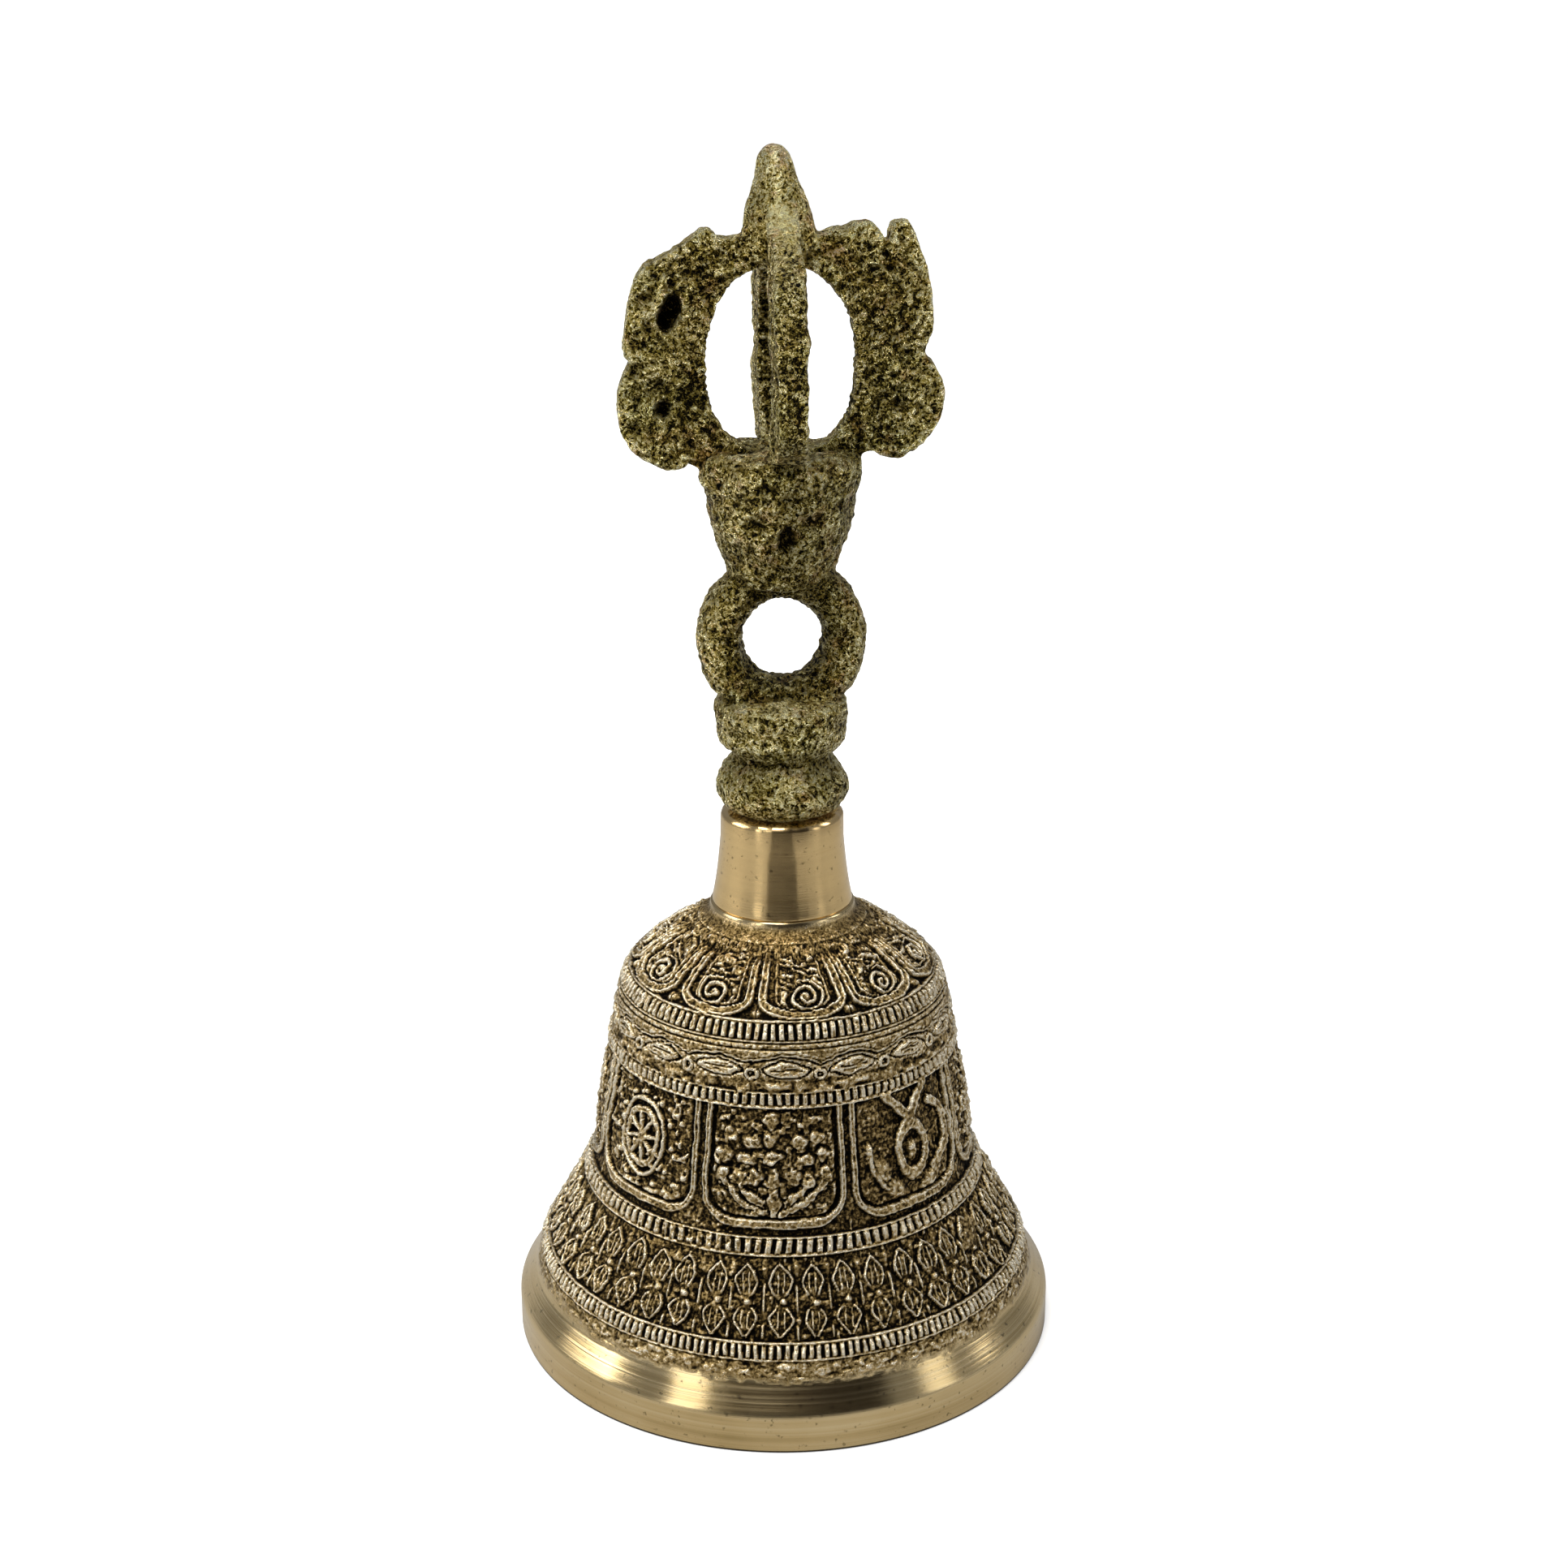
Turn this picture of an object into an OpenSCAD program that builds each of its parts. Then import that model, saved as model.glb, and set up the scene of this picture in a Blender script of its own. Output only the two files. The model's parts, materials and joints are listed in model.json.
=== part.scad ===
// Himalayan hand bell with a four-pronged half-vajra handle.
// +Z is up, the bell stands on its lip at Z = 0, and its axis is the Z axis.
// All sizes are in millimetres.

/* [Bell] */
// Radius of the lip, at the foot of the turned band
lip_r = 35.5; // [35:0.1:36]
// Height of the turned band at the lip
lip_band_h = 4.9; // [4:0.1:5.5]
// Radius of the open mouth inside the lip
mouth_r = 31; // [30.5:0.1:31.5]
// Height of the crown's seat, where the ferrule stands
crown_z = 59.1; // [58.9:0.1:59.5]
// Height of the crown's flat underside
crown_under_z = 54; // [53.8:0.1:54.4]
// How far the cast bands stand proud of the wall
band_rise = 0.3; // [0.1:0.05:0.5]

/* [Ferrule] */
// Radius of the ferrule's flared foot
ferrule_foot_r = 9; // [8.8:0.1:9.2]
// Radius of the ferrule's straight upper part
ferrule_r = 7.8; // [7.6:0.05:8]
// Height of the ferrule
ferrule_h = 12.2; // [11.5:0.1:13]
// Bore of the ferrule, which takes the handle's spigot
ferrule_bore_r = 4.6; // [4.5:0.05:5]

/* [Handle] */
// Radius of the hole through the handle's ring
ring_hole_r = 5.05; // [4.6:0.05:5.4]
// Outer radius of the handle's ring
ring_r = 10.4; // [10:0.1:10.8]
// Thickness of the ring, front to back
ring_t = 7.4; // [6.5:0.1:8]
// Height of the ring's centre
ring_z = 93.7; // [93.4:0.1:94]
// Thickness of each prong plate
prong_t = 4.4; // [3.8:0.1:4.8]
// Half width of the opening inside the prongs
cage_r = 9; // [8.6:0.1:9.4]
// Half height of the opening inside the prongs
cage_h = 10.4; // [10:0.1:10.6]
// Height of the middle of that opening
cage_z = 128; // [127.8:0.1:128.2]
// Height of the very top of the tip
tip_z = 152.7; // [152.2:0.1:153.4]

/* [Fixing] */
// Radius of the eye bolt's threaded shank (M6)
stud_r = 3; // [2.9:0.05:3]
// Radial clearance round the shank
stud_gap = 0.03; // [0.02:0.01:0.05]
// Width across the flats of the crown nut
nut_af = 10; // [9.5:0.5:11]
// Height of the crown nut
nut_h = 4.8; // [4:0.2:5]
// Radius of the crown washer
washer_r = 6.4; // [6:0.1:7]
// Thickness of the crown washer
washer_t = 1.2; // [1:0.1:1.4]

/* [Clapper] */
// Height of the centre of the bolt's eye
eye_z = 43.5; // [43.3:0.1:43.6]
// Radius of the middle of the bolt's eye wire
eye_R = 3.2; // [3.1:0.05:3.25]
// Radius of the bolt's eye wire
eye_w = 1.2; // [1.1:0.05:1.2]
// Radius of the middle of the hanger link's wire
link_R = 3.6; // [3.6:0.05:3.7]
// Radius of the wire of the link and of the clapper's eye
link_w = 0.9; // [0.8:0.05:0.9]
// Running gap between hanging wires
hang_gap = 0.15; // [0.12:0.01:0.2]
// Radius of the middle of the clapper's eye wire
clap_eye_R = 2.6; // [2.5:0.05:2.7]
// Radius of the clapper's rod
rod_r = 1.1; // [1:0.05:1.2]
// Radius of the clapper's ball
ball_r = 8; // [7:0.1:8]
// Height of the middle of the clapper's ball
ball_z = 10.5; // [10.3:0.1:11]

/* [Hidden] */

// hanging chain, from the bolt's eye down
pivot1_z = eye_z - eye_R;
link_z = pivot1_z + eye_w + link_w + hang_gap - link_R;
pivot2_z = link_z - link_R;
clap_eye_z = pivot2_z + 2 * link_w + hang_gap - clap_eye_R;
ferrule_top = crown_z + ferrule_h;

bronze = [0.72, 0.56, 0.36];
turned = [0.80, 0.62, 0.38];
brass = [0.56, 0.50, 0.24];
steel = [0.55, 0.55, 0.53];

// a point of a cubic curve through four control points
function bez(a, b, c, d, t) =
    a * pow(1 - t, 3) + 3 * b * t * pow(1 - t, 2) + 3 * c * t * t * (1 - t) + d * pow(t, 3);
function arc_pts(a, b, c, d, n) = [for (i = [1:n]) bez(a, b, c, d, i / n)];
function ellipse_pts(a, b, cz, n) = [for (i = [0:n - 1]) [a * cos(360 * i / n), cz + b * sin(360 * i / n)]];

// a cast band that stands proud of the wall between two points of it
function band_pts(a, b) =
    let(d = (b - a) / norm(b - a), n = [d[1], -d[0]] * band_rise)
    [a, a + n + d * 0.2, b + n - d * 0.2, b];

// outer wall, from the lip to the ring under the ferrule
outer_line = concat(
    [[lip_r - 0.3, 0], [lip_r, 0.3], [lip_r, lip_band_h], [33.1, 8.4]],
    band_pts([32.4, 10.8], [31.3, 12.8]),
    band_pts([26.2, 21.9], [25.3, 24.1]),
    arc_pts([25.3, 24.1], [24.8, 26], [24.6, 28], [24.3, 31], 5),
    band_pts([22.55, 40.2], [22.15, 42.2]),
    band_pts([21, 48.1], [19.7, 50.4]),
    arc_pts([19.7, 50.4], [18.35, 52.3], [14.4, 54.9], [9.6, 57.75], 8),
    [[9.35, 58.1], [9.3, 58.8], [9.1, crown_z]]);
// inner wall, from the crown back down to the mouth
inner_line = concat([[stud_r + stud_gap, crown_z], [stud_r + stud_gap, crown_under_z], [9.2, crown_under_z]],
                    arc_pts([9.2, crown_under_z], [13.8, 52], [17.8, 49.6], [18.3, 45.6], 8),
                    [[21.5, 28.6]],
                    arc_pts([21.5, 28.6], [21.8, 25.4], [22.2, 23.4], [23.8, 20.5], 5),
                    [[29.9, 9.4], [mouth_r - 0.2, 4.6], [mouth_r, 0.4], [mouth_r + 0.4, 0]]);

// dome, waist, flare and lip of the bell, one casting
module bell_shell() {
    color(bronze) rotate_extrude($fn = 128) polygon(concat(outer_line, inner_line));
}

// turned sleeve between the crown and the handle
module neck_ferrule() {
    color(turned) rotate_extrude($fn = 128)
        polygon(concat([[ferrule_foot_r, crown_z]],
            arc_pts([ferrule_foot_r, crown_z + 0.3], [ferrule_foot_r - 0.4, crown_z + 1.9],
                    [ferrule_r + 0.4, crown_z + 4], [ferrule_r, crown_z + 8.6], 8),
            [[ferrule_r, ferrule_top - 0.5], [ferrule_r - 0.5, ferrule_top],
             [ferrule_bore_r, ferrule_top], [ferrule_bore_r, crown_z]]));
}

// side view of one prong, from the axis outwards: a lower lobe, an upper lobe, and
// a crest whose knobs are given as [radius out, height, knob radius]
module prong_outline(low, high, knobs) {
    difference() {
        union() {
            polygon([[0, 142.6], [7, 142.5], [12.3, 140.9], [17.2, 137.4], [18.1, 132],
                     [17.6, 128.2], [17.6, 122], [12, 116], [9.4, 115.6], [0, 115.6]]);
            translate(low) circle(5.8, $fn = 48);
            translate(high) circle(6.1, $fn = 48);
            for (k = knobs) hull() {
                translate([k[0], k[1]]) circle(k[2], $fn = 32);
                translate([k[0] - 0.6, 139]) circle(k[2], $fn = 32);
            }
        }
        polygon(ellipse_pts(cage_r, cage_h, cage_z, 40));
    }
}

module prong(turn) {
    rotate([0, 0, turn]) rotate([90, 0, 0]) translate([0, 0, -prong_t / 2])
        linear_extrude(height = prong_t) children();
}

// prongs to the right and the back, and those to the left and the front
module two_knob_prong(turn) { prong(turn) prong_outline([13.9, 121.5], [12.3, 135], [[9.5, 142.2, 1.5], [14.5, 142.6, 1.3]]); }
module one_knob_prong(turn) { prong(turn) prong_outline([13.9, 120.5], [12.4, 133.6], [[8.8, 142, 1.3]]); }

// lying ring with rounded edges, its hole along Y
module ring() {
    h = ring_t / 2;
    translate([0, 0, ring_z]) rotate([90, 0, 0]) rotate_extrude($fn = 96)
        polygon([[ring_hole_r, -h + 0.8], [ring_hole_r + 0.8, -h], [ring_r - 2, -h], [ring_r - 0.7, -h + 0.8],
                 [ring_r, -h + 2.2], [ring_r, h - 2.2], [ring_r - 0.7, h - 0.8], [ring_r - 2, h],
                 [ring_hole_r + 0.8, h], [ring_hole_r, h - 0.8]]);
}

// rough cast handle: spigot, two collars, ring, head block, four prongs and tip
module handle() {
    color(brass) difference() {
        union() {
            // spigot and collars
            rotate_extrude($fn = 96) polygon(concat(
                [[0, crown_z + 0.2], [ferrule_bore_r - 0.05, crown_z + 0.2], [ferrule_bore_r - 0.05, ferrule_top],
                 [7, ferrule_top]],
                arc_pts([7, ferrule_top], [8.9, ferrule_top + 1.4], [8.7, ferrule_top + 5.8], [6.2, 78.3], 8),
                [[6.1, 78.9]],
                arc_pts([6.1, 78.9], [7.2, 79.8], [8, 80.4], [8.1, 82], 5),
                [[8.15, 84.9], [7.7, 85.8], [6.2, 86.3], [0, 87.2]]));
            ring();
            // head block under the prongs
            rotate_extrude($fn = 96) polygon([[0, 100.4], [6, 100.8], [6.9, 103], [8.2, 107], [9.2, 111.2], [9.5, 113],
                [10, 114], [10, 116.2], [9.2, 117.2], [0, 117.7]]);
            // neck between ring and head block
            translate([0, 0, 101]) cylinder(r = 5.6, h = 4, $fn = 64);
            for (a = [0, 90]) two_knob_prong(a);
            for (a = [180, 270]) one_knob_prong(a);
            // tip
            rotate_extrude($fn = 64) polygon([[0, 138.6], [3.4, 139.2], [4.3, 141.2], [4.1, 143.8], [3.4, 146.2],
                [2.6, 149], [1.9, 151.2], [1.1, tip_z - 0.4], [0, tip_z]]);
        }
        // threaded hole for the eye bolt
        translate([0, 0, crown_z - 1]) cylinder(r = stud_r + stud_gap, h = 11, $fn = 48);
        // hole through the ring
        translate([0, 20, ring_z]) rotate([90, 0, 0]) cylinder(r = ring_hole_r, h = 40, $fn = 96);
    }
}

// steel bolt through the crown with a closed eye below
module eye_bolt() {
    color(steel) union() {
        difference() {
            translate([0, 0, eye_z + eye_R]) cylinder(r = stud_r, h = 69 - eye_z - eye_R, $fn = 48);
            translate([0, 0, 68.5]) rotate_extrude($fn = 48) polygon([[stud_r - 0.4, 0.6], [stud_r + 1, 0.6], [stud_r + 1, -0.9]]);
        }
        translate([0, 0, eye_z]) rotate([0, 90, 0]) rotate_extrude($fn = 64) translate([eye_R, 0]) circle(eye_w, $fn = 32);
    }
}

module crown_washer() {
    color(steel) difference() {
        translate([0, 0, crown_under_z - washer_t]) cylinder(r = washer_r, h = washer_t, $fn = 64);
        translate([0, 0, crown_under_z - 3]) cylinder(r = stud_r + 0.2, h = 6, $fn = 48);
    }
}

module crown_nut() {
    top = crown_under_z - washer_t;
    rc = nut_af / 2 / cos(30);
    color(steel) difference() {
        intersection() {
            translate([0, 0, top - nut_h]) cylinder(r = rc, h = nut_h, $fn = 6);
            translate([0, 0, top - nut_h]) rotate_extrude($fn = 64)
                polygon([[0, 0], [nut_af / 2 - 0.1, 0], [rc + 0.05, 0.5], [rc + 0.05, nut_h - 0.5],
                         [nut_af / 2 - 0.1, nut_h], [0, nut_h]]);
        }
        translate([0, 0, top - nut_h - 1]) cylinder(r = stud_r + stud_gap, h = nut_h + 2, $fn = 48);
    }
}

// closed ring that hangs in the bolt's eye
module hanger_link() {
    color(steel) translate([0, 0, link_z]) rotate([90, 0, 0])
        rotate_extrude($fn = 64) translate([link_R, 0]) circle(link_w, $fn = 32);
}

// wire rod with an eye at the top and a riveted head under the ball
module clapper_rod() {
    foot = ball_z - ball_r + 0.5;
    top = clap_eye_z - clap_eye_R;
    color(steel) union() {
        translate([0, 0, clap_eye_z]) rotate([0, 90, 0])
            rotate_extrude($fn = 64) translate([clap_eye_R, 0]) circle(link_w, $fn = 32);
        rotate_extrude($fn = 48) polygon([[0, foot - 0.9], [1, foot - 0.85], [1.7, foot - 0.5], [2, foot],
            [rod_r, foot], [rod_r, top - 0.6], [0, top - 0.2]]);
    }
}

// turned ball, drilled along its axis
module clapper_ball() {
    a0 = -acos(3.1 / ball_r);
    a1 = 68;
    n = 16;
    color(brass) rotate_extrude($fn = 96) polygon(concat(
        [[rod_r + stud_gap, ball_z - ball_r + 0.5], [3, ball_z - ball_r + 0.5]],
        [for (i = [0:n]) let(a = a0 + (a1 - a0) * i / n) [ball_r * cos(a), ball_z + ball_r * sin(a)]],
        [[2.6, ball_z + ball_r + 0.2], [2.3, ball_z + ball_r + 0.8], [rod_r + stud_gap, ball_z + ball_r + 0.8]]));
}

bell_shell();
neck_ferrule();
handle();
eye_bolt();
crown_washer();
crown_nut();
hanger_link();
clapper_rod();
clapper_ball();
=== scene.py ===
import json
import math
import bpy
import bmesh
import numpy as np
from mathutils import Matrix, Vector

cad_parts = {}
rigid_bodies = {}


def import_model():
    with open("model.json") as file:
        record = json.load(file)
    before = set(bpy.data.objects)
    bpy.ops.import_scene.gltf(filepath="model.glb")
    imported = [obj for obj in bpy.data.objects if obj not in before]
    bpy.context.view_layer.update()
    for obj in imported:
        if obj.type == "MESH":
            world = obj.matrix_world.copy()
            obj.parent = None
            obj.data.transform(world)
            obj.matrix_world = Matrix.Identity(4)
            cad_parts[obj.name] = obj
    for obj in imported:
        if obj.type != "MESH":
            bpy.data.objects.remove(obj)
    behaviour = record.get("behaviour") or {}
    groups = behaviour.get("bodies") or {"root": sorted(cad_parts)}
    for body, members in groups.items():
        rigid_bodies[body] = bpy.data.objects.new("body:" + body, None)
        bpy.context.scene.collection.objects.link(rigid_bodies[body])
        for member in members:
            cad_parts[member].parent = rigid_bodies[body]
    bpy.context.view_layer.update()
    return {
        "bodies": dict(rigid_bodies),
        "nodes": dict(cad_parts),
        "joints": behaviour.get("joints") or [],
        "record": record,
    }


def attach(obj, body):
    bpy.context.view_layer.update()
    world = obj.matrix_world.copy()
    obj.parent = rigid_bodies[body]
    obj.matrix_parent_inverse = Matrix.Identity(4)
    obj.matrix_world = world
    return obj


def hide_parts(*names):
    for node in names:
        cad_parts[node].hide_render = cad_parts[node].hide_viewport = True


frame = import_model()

MM = 0.001
TAU = 2 * math.pi


# ---------------------------------------------------------------- small maths

def smooth(a, b, x):
    t = np.clip((x - a) / (b - a), 0, 1)
    return t * t * (3 - 2 * t)


def bump(x, w):
    """1 at 0, falling to 0 at w either side, rounded."""
    return np.clip(1 - (x / w) ** 2, 0, 1) ** 1.5


def line(d, w, soft=0.12):
    """1 inside a line of half width w about distance 0."""
    return 1 - smooth(w - soft, w + soft, np.abs(d))


def wave_noise(u, v, period, seed):
    """Value noise that repeats every `period` cells of u."""
    rng = np.random.default_rng(seed)
    rows = int(np.ceil(v.max() - v.min())) + 3
    table = rng.uniform(-1, 1, (rows, period))
    v = v - np.floor(v.min())
    i, j = np.floor(u).astype(int), np.floor(v).astype(int)
    fu, fv = u - i, v - j
    fu, fv = fu * fu * (3 - 2 * fu), fv * fv * (3 - 2 * fv)
    i0, i1, j1 = i % period, (i + 1) % period, np.minimum(j + 1, rows - 1)
    top = table[j, i0] * (1 - fu) + table[j, i1] * fu
    low = table[j1, i0] * (1 - fu) + table[j1, i1] * fu
    return top * (1 - fv) + low * fv


def noise3(p, size, seed):
    """Value noise in space, p in millimetres, one cell of `size`."""
    rng = np.random.default_rng(seed)
    n = 48
    table = rng.uniform(-1, 1, (n, n, n))
    q = p / size + 1000.37
    i = np.floor(q).astype(int)
    f = q - i
    f = f * f * (3 - 2 * f)
    i0, i1 = i % n, (i + 1) % n
    out = 0
    for a in (0, 1):
        for b in (0, 1):
            for c in (0, 1):
                w = ((f[:, 0] if a else 1 - f[:, 0]) * (f[:, 1] if b else 1 - f[:, 1])
                     * (f[:, 2] if c else 1 - f[:, 2]))
                out = out + w * table[(i1 if a else i0)[:, 0], (i1 if b else i0)[:, 1], (i1 if c else i0)[:, 2]]
    return out


def bez(a, b, c, d, n):
    t = np.linspace(0, 1, n + 1)[1:, None]
    a, b, c, d = (np.array(k, float) for k in (a, b, c, d))
    return a * (1 - t) ** 3 + 3 * b * t * (1 - t) ** 2 + 3 * c * t * t * (1 - t) + d * t ** 3


def resample(pts, step):
    """Points every `step` along a line, ends kept."""
    pts = np.array(pts, float)
    out = [pts[0]]
    for a, b in zip(pts[:-1], pts[1:]):
        n = max(1, int(round(np.hypot(*(b - a)) / step)))
        for k in range(1, n + 1):
            out.append(a + (b - a) * k / n)
    return np.array(out)


# ---------------------------------------------------------------- mesh helpers

def mesh_from(name, verts, faces, materials, attributes=None, face_mats=None, smooth_shade=True):
    me = bpy.data.meshes.new(name)
    nv, nf, k = len(verts), len(faces), faces.shape[1]
    me.vertices.add(nv)
    me.vertices.foreach_set("co", np.ascontiguousarray(verts, dtype=np.float32).ravel())
    me.loops.add(nf * k)
    me.loops.foreach_set("vertex_index", np.ascontiguousarray(faces, dtype=np.int32).ravel())
    me.polygons.add(nf)
    me.polygons.foreach_set("loop_start", np.arange(0, nf * k, k, dtype=np.int32))
    me.polygons.foreach_set("loop_total", np.full(nf, k, dtype=np.int32))
    for m in materials:
        me.materials.append(m)
    if face_mats is not None:
        me.polygons.foreach_set("material_index", np.ascontiguousarray(face_mats, dtype=np.int32))
    me.update(calc_edges=True)
    me.polygons.foreach_set("use_smooth", np.full(nf, smooth_shade, dtype=bool))
    for key, values in (attributes or {}).items():
        at = me.attributes.new(key, "FLOAT", "POINT")
        at.data.foreach_set("value", np.ascontiguousarray(values, dtype=np.float32))
    me.validate()
    ob = bpy.data.objects.new(name, me)
    bpy.context.scene.collection.objects.link(ob)
    return ob


def grid_faces(rows, cols, loop_rows=False):
    """Quads of a grid that closes round its columns, and round its rows if asked."""
    r = np.arange(rows if loop_rows else rows - 1)
    c = np.arange(cols)
    rr, cc = np.meshgrid(r, c, indexing="ij")
    r2, c2 = (rr + 1) % rows, (cc + 1) % cols
    return np.stack([rr * cols + cc, rr * cols + c2, r2 * cols + c2, r2 * cols + cc], -1).reshape(-1, 4)


def revolve_soup(profile, cols=96, squash_y=1.0):
    """Closed solid of revolution about Z from an open profile whose ends lie on the axis. Returns verts, polygons."""
    profile = np.array(profile, float)
    th = np.arange(cols) / cols * TAU
    verts, polys = [], []
    inner = profile[1:-1]
    for r, z in inner:
        verts += [(r * math.cos(t), r * math.sin(t) * squash_y, z) for t in th]
    for i in range(len(inner) - 1):
        for j in range(cols):
            k = (j + 1) % cols
            polys.append((i * cols + j, i * cols + k, (i + 1) * cols + k, (i + 1) * cols + j))
    a, b = len(verts), len(verts) + 1
    verts += [(0, 0, profile[0][1]), (0, 0, profile[-1][1])]
    for j in range(cols):
        k = (j + 1) % cols
        polys.append((a, k, j))
        polys.append((b, (len(inner) - 1) * cols + j, (len(inner) - 1) * cols + k))
    return verts, polys


# ---------------------------------------------------------------- materials

class Nodes:
    """A short way to write a node tree."""

    def __init__(self, name):
        self.m = bpy.data.materials.new(name)
        self.m.use_nodes = True
        self.t = self.m.node_tree
        self.t.nodes.clear()
        self.out = self.t.nodes.new("ShaderNodeOutputMaterial")
        self.bsdf = self.t.nodes.new("ShaderNodeBsdfPrincipled")
        self.t.links.new(self.bsdf.outputs[0], self.out.inputs[0])
        self.coord = self.t.nodes.new("ShaderNodeTexCoord").outputs["Object"]

    def link(self, a, b):
        self.t.links.new(a, b)

    def put(self, socket, value):
        if hasattr(value, "links"):
            self.link(value, socket)
        else:
            socket.default_value = value

    def scaled(self, scale):
        n = self.t.nodes.new("ShaderNodeMapping")
        self.link(self.coord, n.inputs["Vector"])
        n.inputs["Scale"].default_value = scale if isinstance(scale, tuple) else (scale,) * 3
        return n.outputs[0]

    def noise(self, scale, detail=4.0, rough=0.6, distortion=0.0, vector=None):
        n = self.t.nodes.new("ShaderNodeTexNoise")
        self.link(vector if vector is not None else self.coord, n.inputs["Vector"])
        n.inputs["Scale"].default_value = scale
        n.inputs["Detail"].default_value = detail
        n.inputs["Roughness"].default_value = rough
        n.inputs["Distortion"].default_value = distortion
        return n.outputs["Fac"]

    def cells(self, scale, feature="F1", vector=None):
        n = self.t.nodes.new("ShaderNodeTexVoronoi")
        n.feature = feature
        self.link(vector if vector is not None else self.coord, n.inputs["Vector"])
        n.inputs["Scale"].default_value = scale
        return n.outputs["Distance"]

    def attr(self, name):
        n = self.t.nodes.new("ShaderNodeAttribute")
        n.attribute_name = name
        return n.outputs["Fac"]

    def ramp(self, fac, stops, mode="LINEAR"):
        n = self.t.nodes.new("ShaderNodeValToRGB")
        n.color_ramp.interpolation = mode
        els = n.color_ramp.elements
        while len(els) > 1:
            els.remove(els[-1])
        for i, (pos, col) in enumerate(stops):
            e = els[0] if i == 0 else els.new(pos)
            e.position = pos
            if not isinstance(col, tuple):
                col = (col, col, col)
            e.color = (*col[:3], 1)
        self.put(n.inputs["Fac"], fac)
        return n.outputs["Color"]

    def value(self, op, a, b=0.0, clamp=False):
        n = self.t.nodes.new("ShaderNodeMath")
        n.operation = op
        n.use_clamp = clamp
        self.put(n.inputs[0], a)
        self.put(n.inputs[1], b)
        return n.outputs[0]

    def mix(self, fac, a, b, blend="MIX"):
        n = self.t.nodes.new("ShaderNodeMix")
        n.data_type = "RGBA"
        n.blend_type = blend
        n.clamp_factor = True
        self.put(n.inputs[0], fac)
        for i, v in ((6, a), (7, b)):
            self.put(n.inputs[i], v if hasattr(v, "links") else ((*v, 1) if isinstance(v, tuple) else (v, v, v, 1)))
        return n.outputs[2]

    def lerp(self, fac, a, b):
        n = self.t.nodes.new("ShaderNodeMix")
        n.data_type = "FLOAT"
        n.clamp_factor = True
        self.put(n.inputs[0], fac)
        self.put(n.inputs[2], a)
        self.put(n.inputs[3], b)
        return n.outputs[0]

    def bumped(self, height, strength, distance):
        n = self.t.nodes.new("ShaderNodeBump")
        n.inputs["Strength"].default_value = strength
        n.inputs["Distance"].default_value = distance
        self.put(n.inputs["Height"], height)
        self.link(n.outputs[0], self.bsdf.inputs["Normal"])

    def turned(self, amount):
        """Stretch highlights along Z, as fine lathe lines do."""
        tangent = self.t.nodes.new("ShaderNodeTangent")
        tangent.direction_type = "RADIAL"
        tangent.axis = "Z"
        self.link(tangent.outputs[0], self.bsdf.inputs["Tangent"])
        self.put(self.bsdf.inputs["Anisotropic"], amount)
        self.bsdf.inputs["Anisotropic Rotation"].default_value = 0.25

    def finish(self, color, rough, metallic=1.0):
        self.put(self.bsdf.inputs["Base Color"], color if hasattr(color, "links") else (*color, 1))
        self.put(self.bsdf.inputs["Roughness"], rough)
        self.put(self.bsdf.inputs["Metallic"], metallic)
        return self.m


def mat_turned(name, base, dark, rough=0.26, lines=5200.0):
    """Metal turned on a lathe about Z: fine rings, a few scratches and tarnish."""
    n = Nodes(name)
    rings = n.noise(1.0, 3.0, 0.65, vector=n.scaled((18.0, 18.0, lines)))
    wide = n.noise(1.0, 2.0, 0.5, vector=n.scaled((10.0, 10.0, lines * 0.16)))
    cloud = n.noise(95.0, 4.0, 0.6)
    speck = n.noise(1500.0, 2.0, 0.5)
    tone = n.value("ADD", n.value("MULTIPLY", rings, 0.35), n.value("ADD", n.value("MULTIPLY", wide, 0.4), n.value("MULTIPLY", cloud, 0.45)))
    col = n.ramp(tone, [(0.40, dark), (0.56, base), (0.78, tuple(min(1.0, c * 1.13) for c in base))])
    spots = n.ramp(speck, [(0.27, 0.35), (0.36, 1.0)])
    col = n.mix(0.8, col, spots, "MULTIPLY")
    r = n.value("ADD", n.value("MULTIPLY", rings, 0.22), n.value("ADD", n.value("MULTIPLY", cloud, 0.16), rough - 0.19))
    n.bumped(n.value("ADD", rings, n.value("MULTIPLY", wide, 0.7)), 0.4, 0.00003)
    n.turned(0.85)
    return n.finish(col, r, 1.0)


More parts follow.
